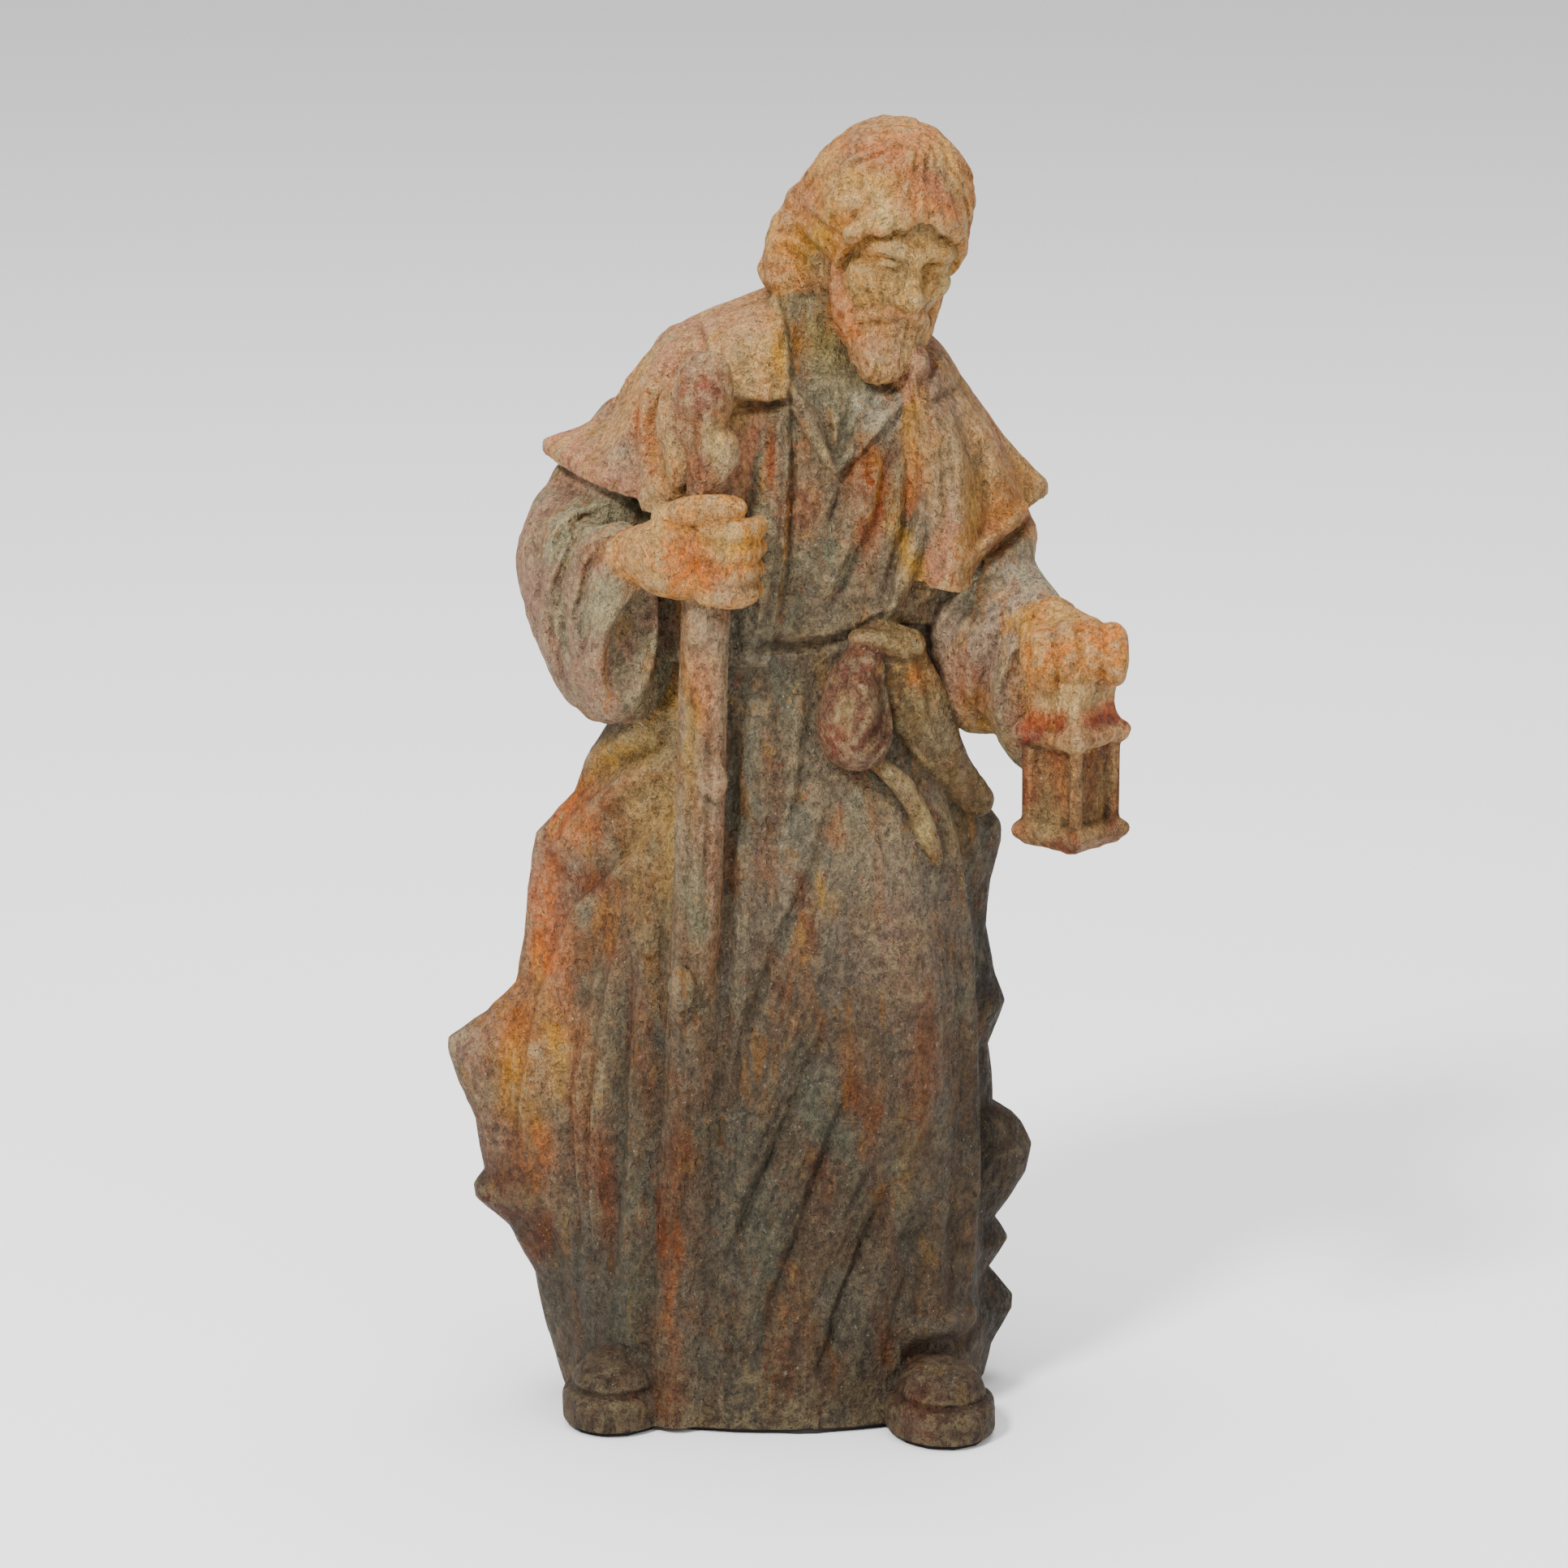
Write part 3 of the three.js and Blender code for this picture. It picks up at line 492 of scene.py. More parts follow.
# The layers of dress on the chest: collar flap, open mantle, neckline and belt
CHEST_PATCHES = [
    [2.6, 0.9, -40, 320, 4.1, 320, 4.3, 297, 3.2, 270.5, 0.5, 252, -2, 236, -40, 236],
    [
        3.4, 0.8, -22, 336, -16, 319, -9, 317.5, -3, 316.4, 4.2, 317,
        4.4, 326, 3.2, 337, 0.4, 345, -4, 352, -16, 352,
    ],
    [-2.4, 1.6, 5.5, 322, 18, 298, 40, 323, 34, 345, 6, 345],
    [1.6, 0.6, 4.6, 321, 10, 315, 15, 305, 18, 295.5, 14.5, 298, 8, 308, 4.6, 314],
    [2.4, 0.7, 41.5, 324, 31, 317, 24, 307, 17.2, 295, 24, 299.5, 33, 309, 42, 317],
    [2.2, 0.8, 39, 326, 42.2, 310, 42.8, 298, 41.7, 281, 36.5, 266, 32, 249, 60, 243, 80, 260, 66, 330],
    [1.2, 0.7, 46, 320, 45.5, 300, 45, 255, 70, 255, 90, 262, 90, 300, 70, 330, 50, 328],
    [1.2, 0.7, -6, 247, 4, 245, 14, 245, 24, 247.5, 36, 255, 40, 322, 2, 322],
]
CHEST_STROKES = [
    [1.3, -2.6, -12, 315.6, -3, 314.4, 4, 315],
    [1.3, -2.2, 5.6, 314, 5.2, 296, 4.2, 272, 1.5, 252],
    [2.2, 3.0, 42.6, 314, 44, 309, 44.5, 298, 43.4, 281, 38.5, 266, 34, 251],
    [1.3, -2.4, 38.6, 312, 41, 298, 39.8, 282, 34.6, 266, 30.5, 252],
    [1.4, -1.1, 45, 314.6, 50, 315.4, 55, 316.2],
    [1.0, -1.5, -8, 244.4, 4, 242.6, 14, 242.8, 24, 245, 30, 249],
    [1.1, 1.0, -10, 241, 4, 240, 14, 240.2, 20, 241.6],
    [1.0, -1.2, 24, 300, 20, 294, 16, 280],
    [1.1, -1.4, 12, 318, 15, 308, 18, 300],
    [1.1, -1.2, 24, 320, 21, 309, 18.5, 300],
    [1.0, 0.9, 18, 322, 18, 310, 17.6, 302],
    # The cape's edge where it lies on the figure's left sleeve, and the hollow under it
    [2.2, 2.2, 86, 286, 76, 280.5, 68, 276, 61, 271, 56, 266],
    [1.8, -4.5, 86, 280.5, 76, 275, 68, 270.5, 62, 266, 58, 261],
]
# Two buttons of the blouse
for x, z in ((9, 284), (9.5, 300)):
    CHEST_STROKES.append([1.6, 1.3, x, z, x + 0.1, z - 0.4])

FLUTES = 7
BACK_FOLDS = []
for flute in range(FLUTES):
    spread = 2 * flute / (FLUTES - 1) - 1
    sway = 3 * math.sin(2.4 * flute)
    top, waist, hem = 6 + 22 * spread, 38 * spread + sway, 54 * spread
    BACK_FOLDS.append([5, 4.5, top, 250, waist, 150, hem, 4])
    BACK_FOLDS.append([2.6, -2.6, top + 5, 240, waist + 8, 140, hem + 9, 4])
    BACK_FOLDS.append([2.2, 1.6, top - 4, 200, waist - 7, 120, hem - 8, 30])
BACK_FOLDS.append([3, -3, -44, 244, 0, 240, 46, 244])

ROBE_ANGLES = 1200
ROBE_CELL = 0.5


def robe_table():
    """The robe's reach from its axis, by angle and height."""
    angle = np.arange(ROBE_ANGLES + 1) * TURN / ROBE_ANGLES
    height = np.arange(0, ROBE_TOP + 2, ROBE_CELL)
    middle, left, right, front, back = read_rows(ROBE_ROWS, height).T
    sin, cos = np.sin(angle)[:, None], np.cos(angle)[:, None]
    wide = np.abs(sin) / np.where(sin < 0, left, right)
    deep = np.abs(cos) / np.where(cos > 0, front, back)
    reach = (wide**ROBE_SQUARENESS + deep**ROBE_SQUARENESS) ** (-1 / ROBE_SQUARENESS)
    for rows, at in ((RIGHT_EDGE, RIGHT_EDGE_ANGLE), (LEFT_EDGE, LEFT_EDGE_ANGLE)):
        standing = np.interp(height, *np.transpose(rows))
        away = angle_between(angle, at) / EDGE_SPREAD
        reach = reach + standing * (0.6 * bell(away) + 0.4 * bell(away / 0.42))[:, None]
    x = middle + reach * sin
    z = np.broadcast_to(height, x.shape)
    facing = np.broadcast_to(cos, x.shape)
    folds = np.where(facing > 0, stroke_lift(ROBE_FOLDS, x, z), stroke_lift(BACK_FOLDS, x, z))
    reach = reach + folds * smooth(-0.05, 0.3, np.abs(facing))
    return reach.astype(np.float32), middle.astype(np.float32)


ROBE_REACH, ROBE_MIDDLE = robe_table()
ROBE_TURNED = np.gradient(ROBE_REACH, TURN / ROBE_ANGLES, axis=0) / ROBE_REACH
ROBE_SLOPE = np.hypot(np.gradient(ROBE_REACH, ROBE_CELL, axis=1), ROBE_TURNED)
ROBE_STEEP = (1 / np.sqrt(1 + ROBE_SLOPE**2)).astype(np.float32)


def robe_distance(p):
    v = np.clip(p[:, 2] / ROBE_CELL, 0, ROBE_REACH.shape[1] - 1.01)
    middle = ROBE_MIDDLE[v.astype(np.int32)]
    x, y = p[:, 0] - middle, p[:, 1]
    u = (np.arctan2(x, -y) % TURN) * ROBE_ANGLES / TURN
    side = (np.hypot(x, y) - sample(ROBE_REACH, u, v)) * sample(ROBE_STEEP, u, v)
    return np.maximum(side, p[:, 2] - ROBE_TOP)


# Cape profiles by the angle from the front: reach and height at each share of the way from the
# neck to the edge
CAPE_SHARES = (0, 0.3, 0.55, 0.8, 1)
CAPE_PROFILES = [
    (-90, (10, 344), (36, 334), (50, 321), (62, 305), (79, 298)),
    (-45, (10, 342), (33, 331), (45, 316), (52, 302), (57, 290)),
    (0, (10, 340), (18, 332), (24, 316), (28, 302), (30, 290)),
    (47, (10, 340), (36, 328), (46, 311), (52, 290), (55, 267)),
    (63, (10, 340), (36, 329), (46, 312), (53, 291), (58, 269)),
    (75, (10, 341), (36, 330), (47, 314), (57, 293), (65, 269)),
    (84, (10, 342), (36, 331), (48, 316), (59, 295), (70, 272)),
    (90, (10, 342), (36, 331), (47, 317), (57, 299), (66, 278)),
    (98, (10, 342), (35, 331), (47, 316), (60, 298), (74, 282)),
    (114, (10, 342), (34, 330), (46, 312), (60, 292), (75, 279)),
    (180, (12, 346), (30, 336), (40, 318), (45, 290), (47, 262)),
    (235, (12, 344), (34, 332), (47, 314), (58, 293), (67, 275)),
    (270, (10, 344), (36, 334), (50, 321), (62, 305), (79, 298)),
]
CAPE_MIDDLE = (9, 2)
CAPE_UNDERSIDE = 284
CAPE_OPENING = (math.radians(-14), math.radians(44))
CAPE_SINK = 16
CAPE_THICKNESS = 4
# Where the opening's sides soften, and the reaches between which it and the folds fade in
CAPE_OPENING_SOFTNESS = (0.05, 0.04)
CAPE_OPENING_FADE = (8, 24)
CAPE_FOLDS_FADE = (10, 26)
CAPE_FOLDS = [
    [3.4, 3.4, -28, 336, -39, 317, -47, 300, -52, 290],
    [2.2, -1.9, -34, 330, -46, 312, -56, 298],
    [3.4, 2.6, -19, 334, -26, 314, -30, 288],
    [2.2, -1.7, -24, 332, -33, 312, -39, 288],
    [3, 2.6, -42, 326, -56, 308, -70, 299],
    [1.8, -1.1, -48, 318, -60, 304, -70, 296],
    [2, -1.0, -12, 322, -15, 305, -17, 290],
    [3.4, 1.8, 52, 312, 55, 296, 55, 280, 52, 258],
    [1.8, -1.6, 55, 308, 61, 294, 62, 280, 58, 258],
    [3.4, 2.2, 60, 310, 67, 290, 72, 270],
    [1.8, -1.2, 47, 318, 49.4, 300, 50, 284, 48, 262],
]
CAPE_FOLDS += hatch(21, 8, 0.8, -0.5, [-20, 334, -30, 312, -36, 290], [-44, 330, -60, 312, -72, 299])
CAPE_FOLDS += hatch(22, 7, 0.8, -0.5, [46, 322, 48, 298, 48, 258], [58, 318, 72, 296, 80, 272])
CAPE_BACK_FOLDS = [[4.5, 3, x * 0.5 + 6, 334, x + 6, 258] for x in (-44, -22, 2, 26, 50)]
CAPE_BACK_FOLDS += [[2.4, -2, x * 0.5 + 6, 330, x + 6, 258] for x in (-34, -11, 13, 38)]
CAPE_BACK_FOLDS += hatch(23, 16, 0.9, -0.9, [-14, 334, -40, 300, -58, 262], [32, 334, 52, 300, 76, 262])
CAPE_ANGLES = 720
CAPE_REACH_CELL = 0.5
CAPE_REACHES = np.arange(190) * CAPE_REACH_CELL
CAPE_LEAST_REACH = 8


def cape_tables():
    """The cape's top by angle and reach, and its edge's reach and height by angle."""
    degrees = np.arange(CAPE_ANGLES + 1) * 360 / CAPE_ANGLES - 90
    shares = np.linspace(0, 1, 40)
    columns = [read_rows(np.column_stack([CAPE_SHARES, rows]), shares) for _, *rows in CAPE_PROFILES]
    at = [[angle] for angle, *_ in CAPE_PROFILES]
    top = np.empty((CAPE_ANGLES + 1, len(CAPE_REACHES)), np.float32)
    rings = [np.column_stack([at, [column[i] for column in columns]]) for i in range(len(shares))]
    along = np.array([read_rows(ring_rows, degrees) for ring_rows in rings])
    for i in range(CAPE_ANGLES + 1):
        reach, height = along[:, i].T
        slope = (height[-1] - height[-4]) / (reach[-1] - reach[-4])
        past = np.maximum(CAPE_REACHES - reach[-1], 0)
        top[i] = np.interp(CAPE_REACHES, reach, height) + slope * past
    return top, along[-1].astype(np.float32)


CAPE_TOP, CAPE_EDGE = cape_tables()
CAPE_TURNED = np.gradient(CAPE_TOP, TURN / CAPE_ANGLES, axis=0)
CAPE_TURNED = CAPE_TURNED / np.maximum(CAPE_REACHES, CAPE_LEAST_REACH)
CAPE_SLOPE = np.hypot(np.gradient(CAPE_TOP, CAPE_REACH_CELL, axis=1), CAPE_TURNED)
CAPE_STEEP = (1 / np.sqrt(1 + CAPE_SLOPE**2)).astype(np.float32)
CAPE_FRONT_TABLE = stroke_lift(CAPE_FOLDS, CARVE_X, CARVE_Z)
CAPE_BACK_TABLE = stroke_lift(CAPE_BACK_FOLDS, CARVE_X, CARVE_Z)


def cape_distance(p):
    x, y = p[:, 0] - CAPE_MIDDLE[0], p[:, 1] - CAPE_MIDDLE[1]
    angle = np.arctan2(x, -y)
    u = ((angle + math.pi / 2) % TURN) * CAPE_ANGLES / TURN
    reach = np.hypot(x, y)
    cx, cz = (p[:, 0] - CARVE_LOW[0]) / CARVE_PITCH, (p[:, 2] - CARVE_LOW[1]) / CARVE_PITCH
    folds = np.where(y < 0, sample(CAPE_FRONT_TABLE, cx, cz), sample(CAPE_BACK_TABLE, cx, cz))
    folds = folds * smooth(*CAPE_FOLDS_FADE, reach)
    (start, end), (soft_start, soft_end) = CAPE_OPENING, CAPE_OPENING_SOFTNESS
    opening = smooth(start - soft_start, start + soft_start, angle)
    opening *= 1 - smooth(end - soft_end, end + soft_end, angle)
    reach = reach - folds + CAPE_SINK * opening * smooth(*CAPE_OPENING_FADE, reach)
    edge_reach = np.interp(u, np.arange(CAPE_ANGLES + 1), CAPE_EDGE[:, 0])
    edge_height = np.interp(u, np.arange(CAPE_ANGLES + 1), CAPE_EDGE[:, 1])
    cell = reach / CAPE_REACH_CELL
    above = (p[:, 2] - sample(CAPE_TOP, u, cell)) * sample(CAPE_STEEP, u, cell)
    inward = np.clip(reach / edge_reach, 0, 1) ** 2
    below = CAPE_UNDERSIDE + (edge_height - CAPE_THICKNESS - CAPE_UNDERSIDE) * inward - p[:, 2]
    return smooth_max(smooth_max(above, (reach - edge_reach) * 0.9, 1.0), below, 0.8)


# Sleeves: rows of [x, y, z, half width, rise, drop, heading]
RIGHT_SLEEVE = [
    [-26, 6, 314, 12, 10, 18, -95],
    [-48, 6, 296, 14, 13, 24, -85],
    [-60, 2, 278, 16, 12, 30, -60],
    [-64, -9, 268, 14, 13, 27, -15],
    [-58, -22, 264, 12, 14, 43, 22],
    [-49, -33, 264, 10.5, 14, 45, 38],
    [-45, -37, 265, 10, 14, 40, 42],
]
LEFT_SLEEVE = [
    [34, 4, 306, 12, 10, 20, 100],
    [54, 2, 288, 14, 12, 28, 80],
    [65, -6, 267, 15, 12, 42, 58],
    [72, -16, 254, 14, 10, 42, 46],
    [77, -23, 249, 12.5, 8.5, 43, 44],
    [78.5, -25.5, 247, 11.5, 7, 44, 44],
]
RIGHT_SLEEVE_FOLDS = [
    [1.5, -1.0, -61, 272, -64, 258, -62, 240],
    [1.8, 1.2, -51, 278, -58, 269, -61, 256, -59, 240],
    [1.4, -1.0, -43, 278, -51, 275, -56, 266, -58, 252, -56, 240],
    [1.5, -1.0, -46, 287, -60, 285, -70, 277, -73, 262, -70, 246],
    [2.4, 1.6, -44, 285, -58, 283, -66, 275, -68, 258, -66, 240],
    [1.8, 1.6, -74, 268, -70, 250, -65, 232],
    [1.3, -0.7, -71, 262, -67, 246, -62, 228],
    # The front edge of the open sleeve, from the wrist down to its lowest point
    [2.0, 0.7, -48, 262, -51, 252, -57, 237, -60, 229],
]
RIGHT_SLEEVE_FOLDS += hatch(
    31, 9, 0.8, -0.7, [-48, 284, -62, 280, -72, 262, -72, 236], [-46, 276, -52, 266, -56, 246, -58, 226]
)
RIGHT_SLEEVE_FOLDS += hatch(32, 5, 0.8, -0.6, [-36, 290, -50, 287, -64, 284], [-44, 278, -54, 277, -64, 274])
LEFT_SLEEVE_FOLDS = [
    # Rings of cloth round the wrist
    [1.3, -1.3, 70, 262, 62, 256.6, 56.6, 250, 53, 243, 51, 234],
    [1.3, -1.3, 74, 260, 67, 254, 61.4, 247, 58.7, 239, 57, 228],
    [1.4, -1.4, 78, 256, 71, 250, 66, 243, 63, 235, 61.6, 226, 61, 216],
    [1.6, 1.4, 66, 260, 59, 253, 55, 246, 52, 236],
    [1.6, 1.6, 72, 257, 64, 250, 60, 243, 57.6, 234, 58, 222],
    [1.8, 2.0, 82, 252, 75, 248, 69.5, 241, 66.5, 232, 66, 222, 68, 212],
    [2.0, 2.2, 58, 260, 53, 254.6, 48.7, 248, 46, 240],
    [1.4, -1.0, 54, 228, 60, 220, 68, 212],
]
LEFT_SLEEVE_FOLDS += hatch(33, 9, 0.8, -0.7, [66, 262, 56, 252, 50, 238], [80, 254, 68, 242, 64, 216])


def ring(rows, radius, count=22):
    """A rolled rim round the open end of a sleeve: its last row's oval."""
    x, y, z, half_width, rise, drop, heading = rows[-1]
    turn = math.radians(heading)
    path = []
    for n in range(count + 1):
        angle = TURN * n / count
        sideways = math.sin(angle) * (half_width - 1.0)
        upward = math.cos(angle) * (rise if math.cos(angle) > 0 else drop - 1.5)
        path.append([
            x - sideways * math.cos(turn) + CUFF_REACH * math.sin(turn),
            y - sideways * math.sin(turn) - CUFF_REACH * math.cos(turn),
            z + upward,
            radius,
        ])
    return limb(path, between=1)


# The head's own axes are right, back and up; its middle and turn are those of the casting
HEAD_MIDDLE = np.array([34.0, -12.0, 362.0], np.float32)
HEAD_AXES = turn_matrix((20, 9, 20))


def head_solid(solid):
    """A solid laid out in the head's own axes, put where the head is."""
    corners = np.array([[x, y, z] for x in (0, 1) for y in (0, 1) for z in (0, 1)])
    corners = (solid.low + corners * (solid.high - solid.low)) @ HEAD_AXES.T + HEAD_MIDDLE
    return Solid(lambda p: solid.distance((p - HEAD_MIDDLE) @ HEAD_AXES), corners.min(0), corners.max(0))


def both_sides(make):
    return [head_solid(make(-1)), head_solid(make(1))]


def face_group():
    skull = [
        head_solid(lump((0, 1.5, 7), (20.5, 23, 23))),
        head_solid(lump((0, -8, -8), (15, 16.5, 21))),
    ]
    cheeks = both_sides(lambda s: lump((s * 10, -15.6, -5.4), (6, 5.2, 5.4)))
    brow = [head_solid(limb([
        (-13, -15.5, 4.4, 2.2), (-7.4, -20.6, 6.6, 2.6), (0, -21.6, 5.6, 2.0),
        (7.4, -20.6, 6.6, 2.6), (13, -15.5, 4.4, 2.2),
    ]))]
    nose = [
        head_solid(limb([(0, -21.6, 5, 2.0), (0, -25.0, -0.4, 2.2), (0, -28.2, -5.6, 2.7)])),
        head_solid(lump((0, -28.2, -6.4), (3.2, 3.2, 2.8))),
    ] + both_sides(lambda s: lump((s * 3.2, -25.4, -7.4), (2.1, 2.8, 2.0)))
    sockets = both_sides(lambda s: lump((s * 7.4, -25.2, 0.6), (4.8, 5.2, 3.4)))
    return Group("face", skull + cheeks + brow + nose, blend=3.0, join=1.0, cuts=sockets, cut_blend=2.4)


def eyes_group():
    balls = both_sides(lambda s: lump((s * 7.3, -17.9, 0.4), (3.9, 3.5, 3.1)))
    upper = both_sides(lambda s: limb([
        (s * 3.4, -19.9, 0.2, 0.8), (s * 5.4, -21.4, 1.7, 1.0),
        (s * 8.6, -20.9, 1.7, 1.0), (s * 11.2, -17.8, 0.0, 0.8),
    ]))
    lower = both_sides(lambda s: limb([
        (s * 3.6, -19.8, -0.4, 0.7), (s * 6.0, -20.8, -2.0, 0.8),
        (s * 9.0, -20.0, -1.9, 0.8), (s * 11.0, -17.6, -0.4, 0.7),
    ]))
    return Group("face", balls + upper + lower, blend=0.7, join=0.8)


def strand_noise(across, along, p):
    """Uneven strands: noise drawn out along their length."""
    return noise(np.stack([across, 0.16 * along, 0.2 * p[:, 1]], 1).astype(np.float32), 1.0)


def beard_group():
    lip = [
        head_solid(lump((0, -23.6, -15.4), (5.0, 2.8, 1.6))),
        head_solid(lump((0, -20.6, -17.5), (9, 3.6, 4.4))),
    ]
    moustache = both_sides(lambda s: limb([
        (s * 0.9, -26.0, -10.8, 1.6), (s * 4.4, -25.2, -12.2, 2.2),
        (s * 8.2, -21.8, -15.2, 2.0), (s * 11.0, -18.0, -19.4, 1.3),
    ]))
    jaw = both_sides(lambda s: limb([
        (s * 14.6, -5, -4, 3.2), (s * 13.6, -9, -13, 4.4),
        (s * 10.4, -14, -21.5, 5.6), (s * 4, -18.5, -27, 6.6),
    ]))
    chin = [
        head_solid(lump((0, -18.5, -24.5), (9, 6.6, 7.6))),
        limb([(33, -21, 336, 9.6), (31.6, -24, 331, 9.4), (31.2, -25, 328.4, 8.4)]),
    ]

    def strands(p):
        q = (p - HEAD_MIDDLE) @ HEAD_AXES
        lines = strand_noise(0.8 * q[:, 0] * (1 - 0.014 * q[:, 2]), q[:, 2], p)
        return 0.8 * lines * smooth(-10, -20, q[:, 2])

    return Group("beard", lip + moustache + jaw + chin, blend=2.6, join=1.4, carve=strands)


# The hairline: its height above the head's middle by the angle away from the face
HAIRLINE = [[0, 14.5], [0.4, 13], [0.7, 7], [0.92, 0], [1.08, -9], [1.25, -24], [1.5, -60], [3.2, -60]]
HAIR_MIDDLE = (-1.2, 2.5, 9.0)
HAIR_HALF = (24.4, 25.8, 26.2)
HAIR_STROKES = [
    # Dark partings between the curls over the figure's right ear
    [1.2, -0.8, 14, 369, 20, 370, 27, 374],
    [1.2, -0.8, 9, 371, 14, 367.5, 21, 364.5],
    [1.2, -0.8, 0, 361.5, 6, 363, 11, 360, 15, 355],
    [1.2, -0.8, -1, 356.5, 4, 358.5, 8.5, 355, 13, 351],
    [1.2, -0.7, 1, 351.5, 6, 353, 10, 349],
    [1.8, 1.1, 8, 374, 13, 370, 19, 367.5, 23, 366.5],
    [1.8, 1.1, 2, 366, 8, 366, 14, 361.5, 18, 357],
    [1.6, 1.0, 0, 359, 6, 360.5, 10, 357, 14, 352.5],
    # Waves in the fringe
    [1.6, -0.5, 22, 384, 19, 376, 20, 371],
    [1.6, -0.5, 34, 380, 31, 374, 32, 369],
    [1.6, -0.5, 46, 378, 45, 371, 47, 366],
]


def hair_group():
    def cap(q):
        around = np.abs(np.arctan2(q[:, 0], -q[:, 1]))
        line = np.interp(around, *np.array(HAIRLINE).T) + 1.2 * np.sin(9 * around + 1.0)
        line = line + 0.5 * np.sin(21 * around)
        above = q[:, 2] - line
        rim = (1.8 * bell((above - 5) / 4.5) - 0.6 * bell((above - 14) / 5)) * smooth(1.25, 0.85, around)
        return oval_distance(q - HAIR_MIDDLE, HAIR_HALF) + 6 * smooth(0.9, -0.9, above) - rim

    skull = [head_solid(Solid(cap, (-29, -30, -20), (27, 30, 38)))]
    locks = [
        limb([(24, 2, 375, 14), (14, 1, 364, 13), (7.5, -1, 353, 11.6), (8, -4, 347, 8.5)]),
        lump((10.5, 1, 350), (12.5, 14, 10), (0, -35, 0)),
        lump((28, 7, 352), (21, 16, 17)),
        lump((30, 5, 366), (19, 17, 19)),
        limb([(52.5, -13, 366, 4.6), (50.6, -15, 359, 4.2), (48.6, -16, 352, 3.2)]),
        lump((45.5, -3, 355), (8, 12, 13), (0, 20, 0)),
        lump((18, -6, 354), (9, 12, 13), (0, 20, 0)),
    ]
    front_strokes = front_carving(HAIR_STROKES, -8, 4)

    def strands(p):
        q = (p - HEAD_MIDDLE) @ HEAD_AXES
        around = np.arctan2(q[:, 0], -(q[:, 1] - 5))
        down = q[:, 2]
        sway = 1.6 * noise(p, 12.0)
        clumps = noise(p, 7.0, 4.0)
        coarse = strand_noise(5.5 * around + sway, down, p)
        lines = coarse + 0.6 * strand_noise(10 * around + 2 * sway, down, p + 7)
        return (0.9 * lines + 0.6 * clumps) * smooth(37, 28, down) + front_strokes(p)

    return Group("hair", skull + locks, blend=5.0, join=0.8, carve=strands)


# The lantern, worked out downwards from the fist that grips its neck
LANTERN_AXIS = (88, -42)
LANTERN_GRIP = 243
LANTERN_TURN = math.radians(4 + 45)


def lantern_corner(n, out):
    """Where a corner stands round the lantern's axis, at a distance out from it."""
    angle = LANTERN_TURN + math.radians(45) + n * TURN / 4
    return LANTERN_AXIS[0] + out * math.cos(angle), LANTERN_AXIS[1] + out * math.sin(angle)


def lantern_group():
    side, eave = LANTERN_SIDE / STEP, LANTERN_EAVE / STEP
    wide, neck = side + 2 * eave, side * 0.9
    pane_side = side - 2 * LANTERN_PANE_RECESS / STEP
    roof_top = LANTERN_GRIP - LANTERN_NECK_HEIGHT / STEP
    roof_edge = roof_top - LANTERN_ROOF_HEIGHT / STEP
    eave_bottom = roof_edge - LANTERN_BAND / STEP
    pane_bottom = eave_bottom - LANTERN_PANE_HEIGHT / STEP
    flare_bottom = pane_bottom - LANTERN_BAND / STEP
    foot = flare_bottom - LANTERN_BAND / STEP
    layers = [
        (neck, neck * 0.96, roof_top - 1, LANTERN_GRIP),
        (wide * 0.97, neck * 0.94, roof_edge, roof_top + 1),
        (neck * 0.9, neck * 1.08, roof_top, roof_top + 9),
        (side, wide, eave_bottom, roof_edge + 0.6),
        (pane_side, pane_side, foot + 1, roof_edge),
        (wide, side, flare_bottom, pane_bottom),
        (side, wide, foot, flare_bottom + 0.6),
    ]
    solids = [frustum(LANTERN_AXIS, *layer, LANTERN_TURN) for layer in layers]
    solids.append(lump((*LANTERN_AXIS, foot), (4, 4, 3.6)))
    post = LANTERN_POST / STEP
    thick = post * 0.56
    reach = side * math.sqrt(0.5) - post * 0.62
    for n in range(4):
        x, y = lantern_corner(n, reach)
        solids.append(limb([(x, y, pane_bottom - 1, thick), (x, y, eave_bottom + 1, thick)], between=1))
    for z, radius in ((roof_edge - 0.6, 2.5), (flare_bottom + 0.4, 2.0)):
        out = wide * math.sqrt(0.5) - radius
        rim = [(*lantern_corner(n, out), z, radius) for n in range(5)]
        solids += [limb([a, b], between=1) for a, b in zip(rim, rim[1:])]
    return Group("lantern", solids, blend=1.8, join=1.2)


# The fingers that grip the staff, from the top one down, and the lantern, with their knuckles
FINGERS = 4
STAFF_FINGER_TOP, STAFF_FINGER_PITCH = 282.6, 6.4
LANTERN_FINGER_SIDE, LANTERN_FINGER_PITCH = 79.3, 6.9
LANTERN_KNUCKLES = (246.5, 248.5, 248.8, 247.4)


def right_hand_group():
    solids = [
        lump((-28, -48.5, 272.6), (16, 9.6, 12.6)),
        block((-25.5, -51, 273), (11.5, 6.6, 11.6), (0, 4, -8), 5.5),
        limb([(-52, -28, 267, 6), (-45, -37, 270, 8), (-35, -45, 272.5, 10.2)]),
        limb([
            (-33, -50, 285, 3.6), (-24, -55, 288, 4.3),
            (-16, -57.5, 289.5, 4.0), (-11.5, -56.5, 289, 3.2),
        ]),
    ]
    for n in range(FINGERS):
        z = STAFF_FINGER_TOP - STAFF_FINGER_PITCH * n
        lower = 0.5 * n
        solids.append(limb([
            (-19 - lower, -56, z, 3.5), (-13 - lower, -59, z - 0.2, 3.9),
            (-7.5 - lower, -56.5, z - 0.3, 3.6), (-5 - lower, -50, z - 0.2, 3.2),
        ]))
    return Group("hand", solids, blend=1.5, join=0.8)


